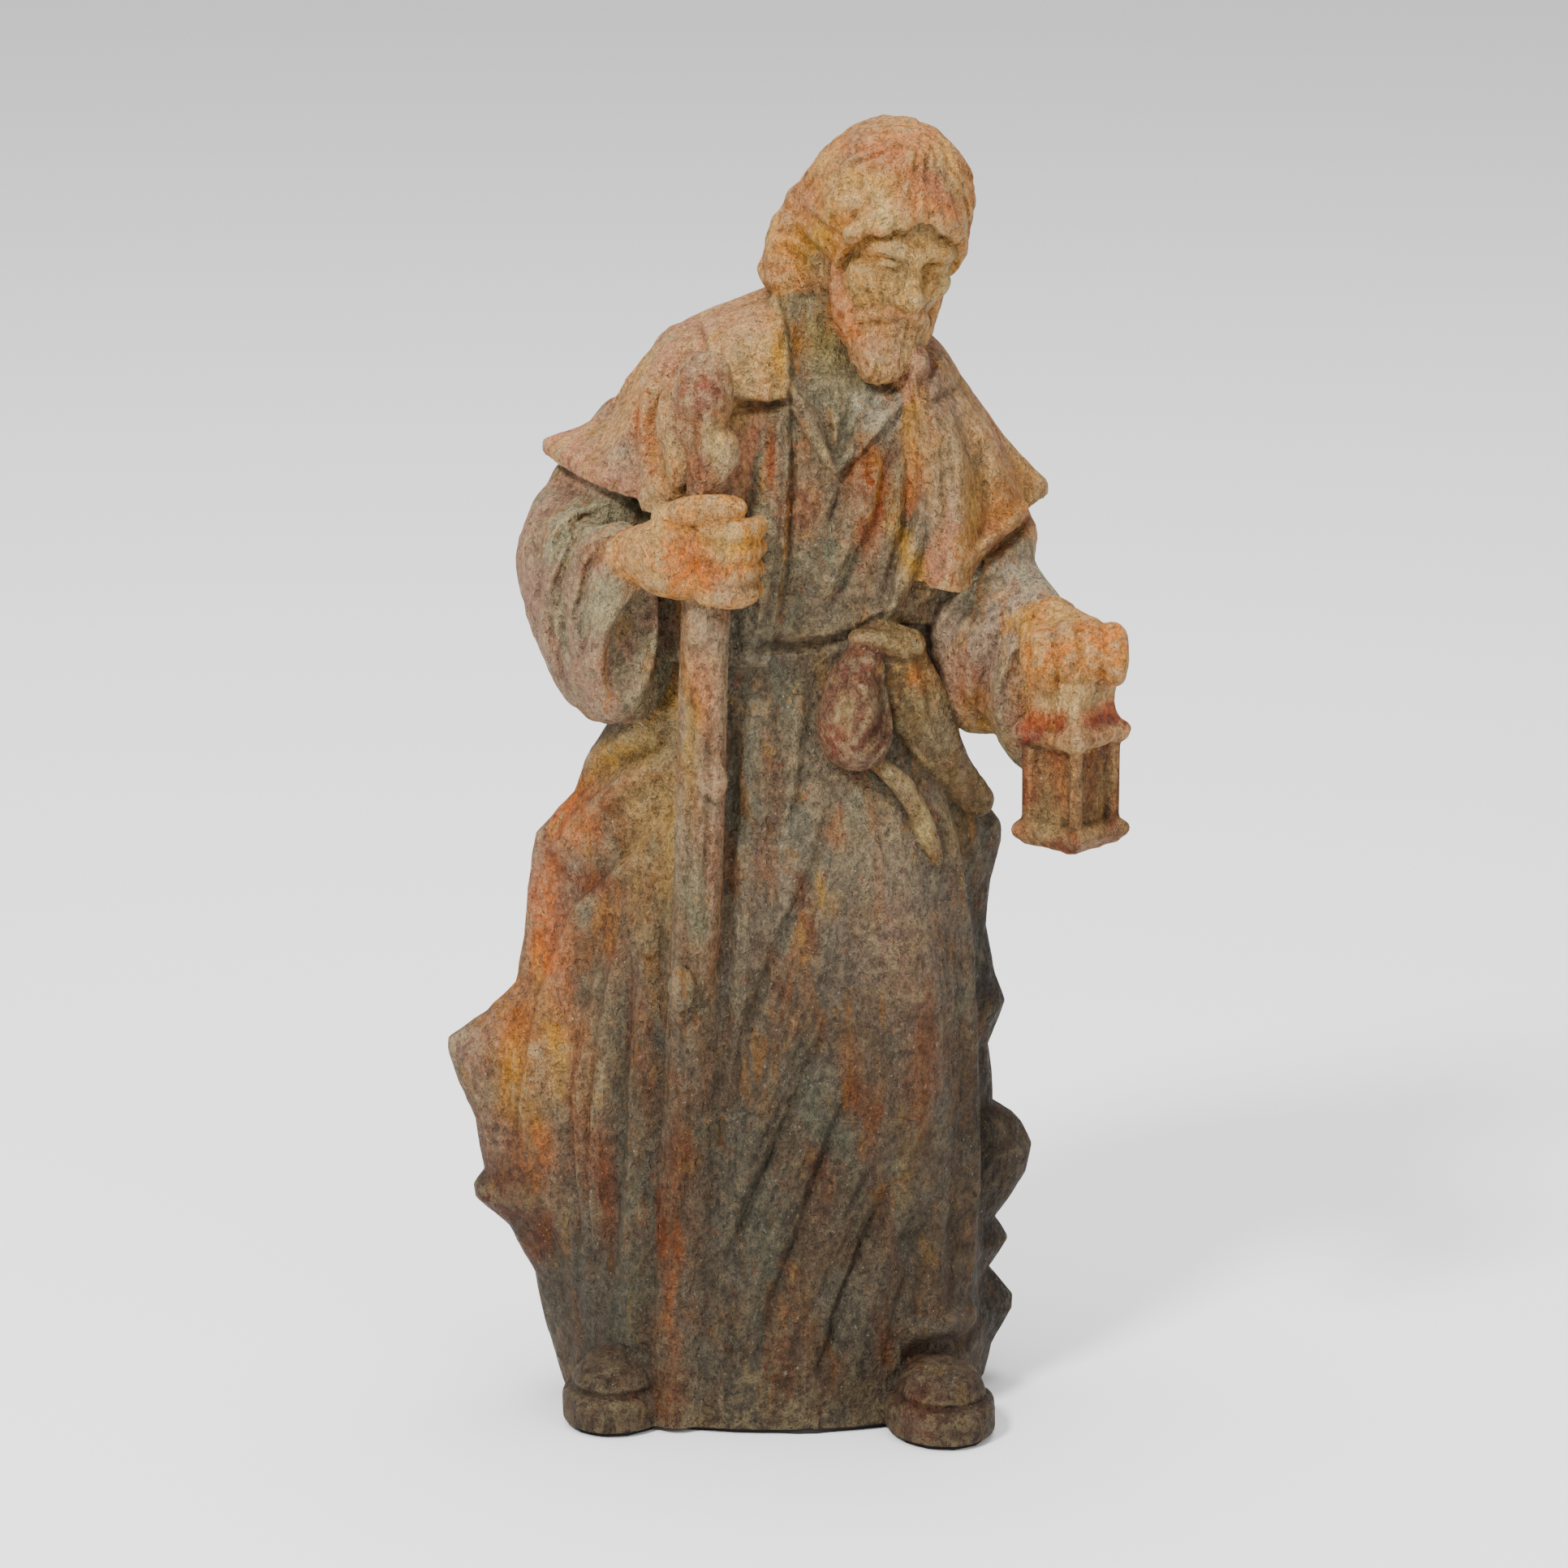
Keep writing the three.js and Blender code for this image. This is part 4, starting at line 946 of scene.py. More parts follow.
def left_hand_group():
    solids = [
        limb([(70, -20, 246, 9), (82, -31, 246, 9.5), (90, -38, 244, 9)]),
        lump((89.5, -42, 243), (14.5, 10.5, 9.5)),
    ]
    for n, z in enumerate(LANTERN_KNUCKLES):
        x = LANTERN_FINGER_SIDE + LANTERN_FINGER_PITCH * n
        solids.append(limb([
            (x, -38, z, 3.4), (x, -47.5, z + 0.3, 4.1),
            (x + 0.3, -53, z - 4.5, 3.9), (x + 0.3, -51.5, z - 10, 3.2),
        ]))
    solids.append(limb([(80, -30, 250, 4), (76.5, -39, 244, 4.2), (77.5, -47, 238, 3.6), (81, -50, 235, 3)]))
    return Group("hand", solids, blend=1.2, join=0.8)


STAFF_ROWS = [
    [-30, -40.5, 0, 1.12],
    [-28, -36.5, 60, 1.06],
    [-25, -35.5, 120, 1.0],
    [-22.5, -40, 190, 1],
    [-21, -42, 240, 1.02],
    [-20, -46, 270, 0.98],
    [-19.5, -47, 292, 0.92],
    [-18.5, -47, 303, 1.02],
    [-20.5, -46.5, 311, 0.96],
    [-20.8, -46, 320, 1.2],
    [-20.5, -45.5, 326, 1.1],
]


def staff_group():
    radius = STAFF_RADIUS / STEP
    rows = [[x, y, z, radius * share] for x, y, z, share in STAFF_ROWS]
    knots = [
        lump((-14.5, -48, 304), (4, 4.5, 6)),
        lump((-25, -48, 311), (3.5, 4, 5)),
        lump((-23, -50, 252), (3.5, 3, 6)),
        lump((-18, -48, 205), (4, 3, 7)),
        lump((-28, -46, 140), (4, 3, 8)),
    ]
    strokes = [
        [1.2, -1.2, -24, 246, -25, 200, -27, 150, -28, 100],
        [1.2, -1.1, -19, 240, -20, 190, -21, 150],
        [1.2, -1.2, -25, 120, -27, 80, -29, 30],
        [1.3, -1.2, -22, 322, -23, 306, -22, 296],
        [1.2, -1.0, -17, 318, -18, 300],
    ]
    return Group("staff", [limb(rows)] + knots, blend=2.5, join=1.6, carve=front_carving(strokes, -44, -38))


def belt_groups():
    pouch = [
        limb([
            (29, -31, 245, 3.4), (26.5, -33.5, 239, 5.8), (24, -36, 229, 9.4),
            (23.6, -36.5, 220, 11.4), (24, -36, 216, 11.0),
        ]),
    ]
    pouch_strokes = [
        [1.4, -3.0, 29, 237, 31.4, 231, 31.8, 225.5, 30.5, 220, 27, 215],
        [1.8, 1.8, 22, 238, 26, 232.5, 28, 225.5, 25, 217.5],
        [1.3, -1.4, 20, 236, 21, 227, 20, 216],
        [1.4, -1.6, 34, 224, 32, 216, 28, 210],
    ]
    cloth = [
        lump((30.5, -33, 244), (9, 4.6, 3.6), (0, 6, 0)),
        lump((37.5, -31.5, 242.5), (7.5, 5, 5)),
        limb([
            (32, -30, 242, 8), (36.5, -28, 234, 10), (40, -26, 226, 10.5), (43.5, -23.5, 218, 10),
            (47, -20.5, 210, 9), (50.5, -17, 203, 7.6), (55.5, -13, 196, 6.4), (61, -9, 189, 5.4),
        ], flat=(1, 2.0, 1)),
    ]
    cloth_strokes = [
        [1.6, 1.6, 24, 242, 30, 234.5, 34.5, 227, 37, 218, 41, 209, 47, 201, 54, 195],
        [1.3, -1.4, 30, 241, 36.5, 232, 40, 222, 43.5, 212, 49, 203],
        [1.2, -1.6, 41, 241, 44.5, 231, 46.5, 220, 50, 210],
        [1.8, 1.4, 39, 240, 42, 229, 44.5, 218, 48, 208],
        [2.2, 1.8, 43, 231.6, 43.4, 231],
    ]
    strap = [limb([
        (29, -36, 208.5, 2.4), (34, -36, 204, 3.0), (39, -34.5, 198.5, 3.2),
        (43, -33, 191, 3.2), (46.4, -31, 182, 3.0), (48.4, -30, 175.5, 2.0),
    ])]
    strap_strokes = [[1.0, -0.8, 38, 200, 43, 190, 46.6, 180]]
    return [
        Group("sash", cloth, blend=2.2, join=1.0, carve=front_carving(cloth_strokes, -26, -16)),
        Group("sash", strap, join=1.4, carve=front_carving(strap_strokes, -32, -26)),
        Group("pouch", pouch, blend=2.0, join=0.8, carve=front_carving(pouch_strokes, -40, -34)),
    ]


SHOES = [(-48, -32, -14), (50, -44, 12)]
SHOE_HALF = (16.5, 21)
SHOE_HEIGHT = 23
SOLE = 12


def shoe_solid(x, y, turn):
    axes = turn_matrix((0, 0, turn))

    def distance(p):
        q = (p - np.array([x, y, 0.0])) @ axes
        across = np.hypot(q[:, 0] / SHOE_HALF[0], q[:, 1] / SHOE_HALF[1])
        low = (across - 1) * SHOE_HALF[0] * 0.95
        sole = smooth_max(low, np.abs(q[:, 2] - SOLE / 2) - SOLE / 2, 3.4)
        wide, long = q[:, 0] / (SHOE_HALF[0] - 0.6), q[:, 1] / (SHOE_HALF[1] - 0.6)
        k = np.sqrt(wide**2 + long**2 + ((q[:, 2] - 5) / (SHOE_HEIGHT - 5)) ** 2)
        upper = (k - 1) * 13.5
        seam = 0.9 * bell((q[:, 2] - SOLE - 0.6) / 0.9)
        wrinkle = 0.5 * noise(p, 5.0) * smooth(SOLE, SOLE + 4, q[:, 2])
        return smooth_min(sole, upper, 1.2) + seam + wrinkle

    reach = max(SHOE_HALF) + 2
    return Solid(distance, (x - reach, y - reach, 0), (x + reach, y + reach, SHOE_HEIGHT + 1))


# The groups in the order they are joined; a hollow is cut from what comes before it. Empty space
# is far from any of them.
FAR = 1e3
DRESS = [
    Group("robe", [Solid(robe_distance, (-106, -70, 0), (100, 60, ROBE_TOP))], join=1.0),
    Group("cape", [Solid(cape_distance, (-76, -70, 250), (95, 62, 350))], join=1.0),
]
NECK_STROKES = [
    [1.3, -1.6, 7, 346, 8, 334, 12, 322],
    [1.3, -1.4, 13, 342, 14, 332, 17, 320],
    [1.4, 1.2, 10, 344, 11, 334, 14, 322],
    [1.4, -1.4, 20, 334, 20, 326, 21, 316],
    [1.3, 1.2, 23, 332, 23, 324, 23, 316],
]
CHEST = front_carving(CHEST_STROKES, -16, -4, CHEST_PATCHES)
CLOTHING = [
    Group("neck", [limb([(15, 2, 318, 15), (19, -3, 334, 14), (26, -8, 348, 13)])], join=3.0,
          carve=front_carving(NECK_STROKES, -8, 0)),
    # Cloth behind the staff's head, and between the beard and the collar
    Group("cape", [lump((-26, -38, 311), (9, 7, 15)), lump((-28, -42, 300), (4, 4, 8))],
          blend=3.0, join=3.0),
    Group("cape", [lump((41, -23.5, 326.5), (4.5, 5, 5))], join=3.0),
    Group("sleeve", sleeve_lumps(RIGHT_SLEEVE, 13) + [lump((-46, -6, 276), (14, 18, 24))],
          blend=6.0, join=1.2, carve=front_carving(RIGHT_SLEEVE_FOLDS, -14, 2)),
    Group("sleeve", [lump((-41, -27, 238), (13, 6, 21), (0, 12, 30))], join=2.0),
    Group("sleeve", sleeve_lumps(LEFT_SLEEVE, 12) + [lump((60, -15, 238), (14, 14, 27))],
          blend=6.0, join=1.2, carve=front_carving(LEFT_SLEEVE_FOLDS, -16, -4)),
    Group("cuff", [ring(LEFT_SLEEVE, 1.7)], join=2.0),
    Group("shoe", [shoe_solid(*shoe) for shoe in SHOES], blend=0.5, join=1.2),
    *belt_groups(),
    face_group(),
    eyes_group(),
    beard_group(),
    hair_group(),
]
HOLLOWS = [lump((-40, -48, 243), (10.5, 11, 21), (0, 20, 30))]
HELD = [staff_group(), right_hand_group(), left_hand_group(), lantern_group()]
GROUPS = DRESS + CLOTHING + HELD


def join_groups(total, groups, p, low, high):
    for group in groups:
        if group.near(low, high, BAND + 2 * group.join):
            d = group.distance(p, low, high)
            if d is not None:
                total = smooth_min(total, d, group.join)
    return total


def field(p, low, high):
    """Distance to the casting for points in a box."""
    total = join_groups(np.full(len(p), FAR, np.float32), DRESS, p, low, high) - CHEST(p)
    total = join_groups(total, CLOTHING, p, low, high)
    for hollow in HOLLOWS:
        if hollow.near(low, high, BAND):
            total = smooth_max(total, -hollow.distance(p), HOLLOW_JOIN)
    total = join_groups(total, HELD, p, low, high)
    return np.maximum(total, PAD_THICKNESS / STEP - p[:, 2])


def grid_points(axes):
    return np.stack(np.meshgrid(*axes, indexing="ij"), -1).reshape(-1, 3).astype(np.float32)


def sculpt_field():
    """The field on a grid: full detail near the surface, and only its sign elsewhere."""
    low, high = np.array(SCULPT_LOW), np.array(SCULPT_HIGH)
    scout_axes = [np.arange(low[i], high[i] + SCOUT_PITCH, SCOUT_PITCH) for i in range(3)]
    scout = field(grid_points(scout_axes), low, high).reshape([len(a) for a in scout_axes])
    counts = np.ceil((high - low) / GRID_PITCH).astype(int)
    values = np.empty(tuple(counts), np.float32)
    tiles = [
        (i, j, k)
        for i in range(0, counts[0], TILE_CELLS)
        for j in range(0, counts[1], TILE_CELLS)
        for k in range(0, counts[2], TILE_CELLS)
    ]

    def fill(start):
        start = np.array(start)
        end = np.minimum(start + TILE_CELLS, counts)
        window = tuple(slice(a, b) for a, b in zip(start, end))
        box_low, box_high = low + start * GRID_PITCH, low + end * GRID_PITCH
        first = np.maximum(((box_low - low) / SCOUT_PITCH).astype(int) - 1, 0)
        last = ((box_high - low) / SCOUT_PITCH).astype(int) + 3
        around = scout[tuple(slice(a, b) for a, b in zip(first, last))]
        if around.min() > 2 * SCOUT_PITCH or around.max() < -2 * SCOUT_PITCH:
            values[window] = BAND if around.min() > 0 else -BAND
            return
        axes = [low[n] + GRID_PITCH * np.arange(start[n], end[n]) for n in range(3)]
        d = field(grid_points(axes), box_low, box_high)
        values[window] = np.clip(d, -BAND, BAND).reshape(tuple(end - start))

    with ThreadPoolExecutor(4) as pool:
        list(pool.map(fill, tiles))
    return values


def mesh_arrays(values):
    grid = openvdb.FloatGrid(BAND)
    grid.copyFromArray(values)
    points, quads = grid.convertToQuads(isovalue=0.0)
    return points.astype(np.float64) * GRID_PITCH + SCULPT_LOW, quads.astype(np.int64)


def make_mesh(name, points, faces):
    mesh = bpy.data.meshes.new(name)
    mesh.vertices.add(len(points))
    mesh.vertices.foreach_set("co", points.astype(np.float32).ravel())
    sides = faces.shape[1]
    mesh.loops.add(faces.size)
    mesh.loops.foreach_set("vertex_index", faces.astype(np.int32).ravel())
    mesh.polygons.add(len(faces))
    mesh.polygons.foreach_set("loop_start", np.arange(0, faces.size, sides, dtype=np.int32))
    mesh.update(calc_edges=True)
    mesh.validate()
    return mesh


def read_mesh(items, key, width, kind=np.float32):
    """One value of each vertex or edge of a mesh, in rows."""
    values = np.empty(len(items) * width, kind)
    items.foreach_get(key, values)
    return values.reshape(-1, width)


def mesh_normals(mesh):
    return read_mesh(mesh.vertex_normals, "vector", 3).astype(float)


def relax(values, edges, times, share=0.5):
    """Averages values over a mesh's neighbours."""
    a, b = edges[:, 0], edges[:, 1]
    count = np.bincount(a, minlength=len(values)) + np.bincount(b, minlength=len(values))
    count = np.maximum(count, 1)[:, None]
    values = values.reshape(len(values), -1)
    for _ in range(times):
        total = np.zeros_like(values)
        for n in range(values.shape[1]):
            total[:, n] = np.bincount(a, values[b, n], len(values))
            total[:, n] += np.bincount(b, values[a, n], len(values))
        values = values + share * (total / count - values)
    return values


def signed_volume(points, faces):
    total = 0.0
    for n in range(1, faces.shape[1] - 1):
        a, b, c = points[faces[:, 0]], points[faces[:, n]], points[faces[:, n + 1]]
        total += (a * np.cross(b, c)).sum() / 6
    return total


def sculpt_figure():
    points, faces = mesh_arrays(sculpt_field())
    if signed_volume(points, faces) < 0:
        faces = faces[:, ::-1]
    mesh = make_mesh("figure_cast", points, faces)
    piece = bpy.data.objects.new("figure_cast", mesh)
    bpy.context.scene.collection.objects.link(piece)
    triangles = 2 * len(faces)
    if triangles > TRIANGLES:
        thin = piece.modifiers.new("thin", "DECIMATE")
        thin.ratio = TRIANGLES / triangles
        thin.use_collapse_triangulate = True
        fresh = bpy.data.meshes.new_from_object(piece.evaluated_get(bpy.context.evaluated_depsgraph_get()))
        piece.modifiers.clear()
        piece.data = fresh
        bpy.data.meshes.remove(mesh)
    return piece


def weather_surface(piece):
    """Gives the cast surface its soft unevenness and turns steps into metres."""
    points = read_mesh(piece.data.vertices, "co", 3).astype(float)
    normals = mesh_normals(piece.data)
    lumps = noise(points, SURFACE_LUMP_SIZE) + 0.6 * noise(points, SURFACE_LUMP_SIZE * 0.45, 9.3)
    lumps *= smooth(2.0, 4.0, points[:, 2])
    points += normals * (SURFACE_LUMP * lumps)[:, None]
    piece.data.vertices.foreach_set("co", (points * STEP).astype(np.float32).ravel())
    piece.data.update()
    piece.data.polygons.foreach_set("use_smooth", np.ones(len(piece.data.polygons), bool))
    return points


# Colours of the old paint
PAINT_DEPTH = 0.645
PAINT_RICHNESS = 1.28
PAINT_CAST = np.array([1.0, 1.01, 0.97])


def linear(code):
    """A paint colour, mixed deeper and richer than it looks under the studio's bright light."""
    channels = [int(code[i : i + 2], 16) / 255 for i in (1, 3, 5)]
    colour = np.array([c / 12.92 if c <= 0.04045 else ((c + 0.055) / 1.055) ** 2.4 for c in channels])
    grey = colour.mean()
    return np.maximum(grey + (colour - grey) * PAINT_RICHNESS, 0.002) * PAINT_CAST * PAINT_DEPTH


GREY, GREY_GREEN, LEAF_GREY = map(linear, ("#7f7566", "#6a6856", "#7a7b69"))
# The first of these colours darkens the pits, and the hollows as grime with painted shade
SOOT_AND_SHADE, DARK_BROWN, BROWN, MAROON = map(linear, ("#2b231c", "#54453a", "#7d6450", "#85493f"))
ROSE, TAN, OCHRE, CREAM = map(linear, ("#b58169", "#bd9a6e", "#c9984f", "#d6bd8d"))
ORANGE, RUST, RED_BROWN = map(linear, ("#c8733a", "#96502d", "#7e4833"))
OLIVE, MAUVE, PALE = map(linear, ("#948a72", "#9c7567", "#b6af9f"))

# What each region is painted with: its first colour, and the one that breaks through it
REGION_PAINT = {
    "robe": (GREY, BROWN),
    "cape": (ROSE, TAN),
    "neck": ("#93835c", "#745438"),
    "sleeve": (OLIVE, MAUVE),
    "cuff": ("#a2683f", OCHRE),
    "shoe": ("#7f6a59", "#6c5245"),
    "pouch": ("#69453a", "#7d5e4e"),
    "sash": ("#7b5f45", "#8c7656"),
    "face": ("#c6a678", "#c0905c"),
    "beard": ("#c99c70", "#bf8060"),
    "hair": ("#cb9d68", "#bd7d58"),
    "staff": ("#a7917a", "#956c54"),
    "hand": ("#c98f5e", "#c9a675"),
    "lantern": ("#b8694c", "#dab488"),
}
# Broad strokes of the brush on the side that faces forward, in the order they are laid on. A
# region's strokes keep to it.
BRUSHWORK = []
ANYWHERE = ""


def paint(colour):
    return linear(colour) if isinstance(colour, str) else colour


def brush(region, rows):
    """Adds rows of [colour, strength, x, z, half width, half height, degrees of lean if any]."""
    for colour, strength, x, z, half_width, half_height, *lean in rows:
        turn = math.radians(lean[0] if lean else 0)
        BRUSHWORK.append((region, paint(colour), strength, x, z, half_width, half_height, turn))


# Blouse: dark green-grey with red-brown wear
brush("robe", [
    (GREY_GREEN, 0.95, 18, 278, 26, 44),
    ("#84401f", 0.97, 9, 288, 7, 12),
    ("#84401f", 0.97, 28, 289, 8, 14),
    (BROWN, 0.8, 29, 264, 7, 16, -14),
    (RUST, 0.5, 27, 276, 4, 12, -10),
    (OLIVE, 0.5, 9, 306, 5, 10),
])
brush(ANYWHERE, [("#c2bba8", 0.95, 30, 311, 11, 6, -42)])
brush("robe", [(DARK_BROWN, 0.5, 12, 256, 12, 8)])
# Neck
brush("robe", [
    ("#93825a", 0.95, 17, 334, 16, 17),
    ("#8b5c36", 0.5, 8, 330, 4, 5),
])
brush(ANYWHERE, [("#6f6545", 0.6, 20, 326, 6, 9)])
# The mantle's collar, front strip and rolled front edge
brush(ANYWHERE, [
    (TAN, 0.85, -8, 328, 10, 14),
    (OCHRE, 0.7, 0, 330, 3, 14),
    (ROSE, 0.6, -12, 346, 10, 6, 20),
])
brush("robe", [
    (OLIVE, 0.8, -5, 296, 6, 26),
    (RUST, 0.8, 0, 300, 2.6, 10),
    (BROWN, 0.7, -2, 264, 5, 14),
])
brush(ANYWHERE, [
    (OCHRE, 0.8, 41.5, 306, 3.4, 20, -3),
    (ORANGE, 0.75, 42, 290, 3.2, 10),
    (OCHRE, 0.75, 39, 270, 3.6, 16, 16),
    (BROWN, 0.6, 47.5, 292, 2.6, 24),
])
# Cape at the figure's left
brush("cape", [
    (MAUVE, 0.85, 50, 326, 14, 12, -30),
    (BROWN, 0.5, 56, 322, 10, 10, -30),
    (OLIVE, 0.65, 53, 300, 6, 16),
    (BROWN, 0.45, 62, 300, 14, 20, 20),
    (OCHRE, 0.6, 57, 282, 3, 16, -6),
    (ROSE, 0.5, 65, 306, 8, 12, 30),
    ("#b07c4e", 0.8, 71, 282, 9, 10, 20),
    (TAN, 0.5, 80, 284, 6, 8),
])
# Cape at the figure's right
brush("cape", [
    (MAUVE, 0.55, -30, 338, 20, 6, 24),
    (ROSE, 0.75, -56, 306, 18, 7, 26),
    (TAN, 0.6, -38, 318, 10, 12),
    (OLIVE, 0.6, -46, 298, 9, 6),
    (ORANGE, 0.5, -39, 306, 3, 16, 14),
    (OLIVE, 0.5, -26, 306, 5, 16),
    (TAN, 0.6, -18, 322, 6, 10),
])
# Tunic below the belt
brush("robe", [
    (GREY, 0.9, 12, 160, 42, 90),
    (LEAF_GREY, 0.55, 4, 214, 12, 26),
    (OCHRE, 0.55, 17, 222, 2.6, 16, 4),
    (MAUVE, 0.4, 38, 150, 16, 34),
    (OLIVE, 0.4, 30, 184, 10, 16),
    (ORANGE, 0.7, 20, 186, 2, 6, 10),
    (OCHRE, 0.6, 15, 164, 1.8, 8, 8),
    (RED_BROWN, 0.65, 10, 160, 3, 18, 14),
    (RED_BROWN, 0.5, 0, 142, 4, 16, 14),
    (RED_BROWN, 0.45, -2, 200, 3, 20),
    (RUST, 0.7, 44, 112, 6, 16),
    (RUST, 0.6, 26, 104, 3, 22, 10),
    (RED_BROWN, 0.6, 12, 78, 4, 18, 16),
    (RED_BROWN, 0.5, 34, 62, 3, 22, 8),
    (OCHRE, 0.4, 40, 84, 2, 14, 4),
    (LEAF_GREY, 0.7, 8, 116, 2.4, 22, 22),
    (LEAF_GREY, 0.7, 22, 82, 2.4, 26, 14),
    (LEAF_GREY, 0.5, -2, 56, 4, 26, 14),
    (BROWN, 0.6, 52, 44, 12, 18),
    (DARK_BROWN, 0.6, 14, 16, 34, 14),
    (PALE, 0.7, 50, 30, 10, 2.4, -8),
    (RUST, 0.5, 32, 26, 3, 10, 12),
    (PALE, 0.5, 0, 241, 9, 1.6),
])
# The darker mantle behind the tunic at the figure's left
brush("robe", [
    ("#463a2f", 0.97, 80, 104, 14, 120),
    ("#463a2f", 0.97, 70, 104, 8.5, 110),
    ("#7c6238", 0.65, 56, 186, 6, 14),
    ("#46382c", 0.8, 64, 120, 3.4, 60),
    (BROWN, 0.8, 76, 80, 9, 16),
    ("#41352b", 0.7, 72, 30, 8, 20),
])
# The bright mantle at the figure's right, seen at the viewer's left
brush("robe", [
    (TAN, 0.85, -38, 190, 12, 40),
    (OCHRE, 0.7, -38, 228, 10, 10),
    ("#d07530", 0.95, -62, 188, 14, 12, 30),
    (OCHRE, 0.75, -48, 204, 16, 3.6, 38),
    (CREAM, 0.7, -36, 214, 12, 4, 36),
    (RUST, 0.5, -44, 196, 12, 2.4, 38),
    (MAUVE, 0.8, -76, 168, 5, 22),
    (RUST, 0.75, -66, 166, 5, 12),
    ("#d07530", 0.95, -68, 140, 8, 26, 10),
    (OCHRE, 0.8, -68, 122, 4, 20, 10),
    ("#c97a42", 0.85, -79, 114, 9, 26),
    (OCHRE, 0.7, -77, 96, 8, 16),
    (MAUVE, 0.85, -92, 112, 8, 20, -14),
    (ORANGE, 0.75, -75, 80, 8, 12),
    (MAUVE, 0.7, -88, 80, 7, 12),
    (MAROON, 0.8, -82, 64, 8, 7, 30),
    (RUST, 0.85, -72, 52, 5, 14, -20),
    (TAN, 0.8, -40, 172, 8, 16),
    (CREAM, 0.55, -32, 176, 3, 22),
    (RED_BROWN, 0.8, -53, 166, 8, 5, 20),
    (RUST, 0.75, -48, 148, 5, 16),
    (RED_BROWN, 0.6, -40, 168, 3, 8),
    (OLIVE, 0.55, -50, 118, 10, 26),
    (RUST, 0.55, -40, 118, 3, 26),
    (RUST, 0.7, -52, 72, 5, 24),
    (RUST, 0.5, -60, 90, 3, 24),
    (OLIVE, 0.5, -42, 76, 4, 24),
    (GREY, 0.7, -60, 36, 14, 16),
    (GREY_GREEN, 0.6, -44, 38, 8, 14),
])
# Staff and the robe beside it
brush("staff", [
    ("#88594a", 0.95, -21, 318, 11, 14),
    (MAROON, 0.7, -19, 323, 6, 6),
    (RED_BROWN, 0.75, -21, 297, 8, 10),
    (CREAM, 0.75, -17, 308, 5, 6),
    (OCHRE, 0.7, -26, 220, 3, 22),
    (ORANGE, 0.45, -21, 232, 5, 14),
    (ROSE, 0.5, -16, 196, 3, 26),
    (OLIVE, 0.85, -24, 150, 6, 34),
    (ROSE, 0.5, -17, 166, 2.4, 26),
    (GREY, 0.9, -26, 84, 8, 44),
    (GREY, 0.8, -28, 20, 10, 30),
])
brush(ANYWHERE, [
    (RUST, 0.9, -30, 80, 3.4, 14),
    (ORANGE, 0.7, -31, 46, 3, 22),
    (RUST, 0.9, -33, 56, 2, 22),
    (RUST, 0.6, -34, 12, 6, 10),
    (OCHRE, 0.6, -33, 176, 1.6, 20),
])
# Sleeves
brush("sleeve", [
    (MAUVE, 0.75, -76, 258, 6, 24),
    (OLIVE, 0.7, -60, 256, 9, 24, 10),
    (BROWN, 0.6, -64, 228, 12, 8, -20),
    (ROSE, 0.5, -62, 286, 14, 4),
    (PALE, 0.4, -44, 286, 12, 3),
    (OLIVE, 0.7, -36, 238, 10, 16),
    ("#b0a995", 0.95, 64, 252, 20, 20),
    (OLIVE, 0.6, 54, 246, 8, 14),
    ("#a4683e", 0.85, 76, 228, 8, 18),
    (OCHRE, 0.6, 60, 218, 8, 10),
    (RUST, 0.7, 58, 230, 6, 14),
])
# The cape's colour where its edge lies over the figure's left sleeve, and a painted shadow line just under
# that edge
brush(ANYWHERE, [
    ("#a9744c", 0.9, 72, 283, 15, 6.5, 28),
    (DARK_BROWN, 0.8, 70, 271.5, 15, 1.8, 30),
])
# Hands and lantern
brush("hand", [
    ("#b98062", 0.6, -42, 276, 9, 8),
    ("#d0743a", 0.95, -21, 271, 10, 7, -14),
    (OCHRE, 0.6, -12, 280, 7, 5),
    (OLIVE, 0.6, -12, 266, 7, 4),
    ("#c8753c", 0.9, 90, 246, 18, 9),
])
brush("lantern", [
    (CREAM, 0.8, 88, 231, 16, 4),
    ("#7a4039", 0.97, 88, 219, 22, 5.5),
    (CREAM, 0.6, 84, 214, 14, 3),
    ("#84402f", 0.9, 80, 204, 6, 10),
    (CREAM, 0.9, 96, 202, 5, 11),
    (ORANGE, 0.6, 88, 203, 2.4, 12),
    (MAROON, 0.8, 92, 187, 14, 4),
    (ORANGE, 0.6, 92, 210, 8, 4),
    (CREAM, 0.8, 80, 191, 5, 5),
    (CREAM, 0.7, 88, 238, 10, 5),
])
# Head
brush("hair", [
    ("#a8644c", 0.8, 32, 390, 16, 7),
    ("#7c4a46", 0.85, 46, 380, 7, 5, -30),
    (MAUVE, 0.6, 8, 372, 5, 14, 34),
    (CREAM, 0.7, 28, 372, 9, 5, -14),
    (CREAM, 0.65, 46, 367, 10, 4, 10),
    (ORANGE, 0.6, 53, 374, 4, 6),
    (OCHRE, 0.85, 14, 361, 10, 8, 30),
    (OCHRE, 0.8, 5, 355, 8, 6),
    ("#8b7440", 0.7, 11, 350, 8, 4),
    (OLIVE, 0.5, 58, 364, 6, 9),
    (ROSE, 0.5, 0, 350, 5, 5),
])
brush("face", [
    ("#baa07a", 0.6, 38, 362, 14, 8),
    (ORANGE, 0.55, 26, 361, 5, 5),
    (CREAM, 0.6, 22, 352, 5, 10),
])
brush(ANYWHERE, [(ORANGE, 0.85, 21, 339, 5, 5)])
brush("beard", [
    (ROSE, 0.55, 30, 333, 7, 7),
    (CREAM, 0.5, 38, 332, 7, 6),
])
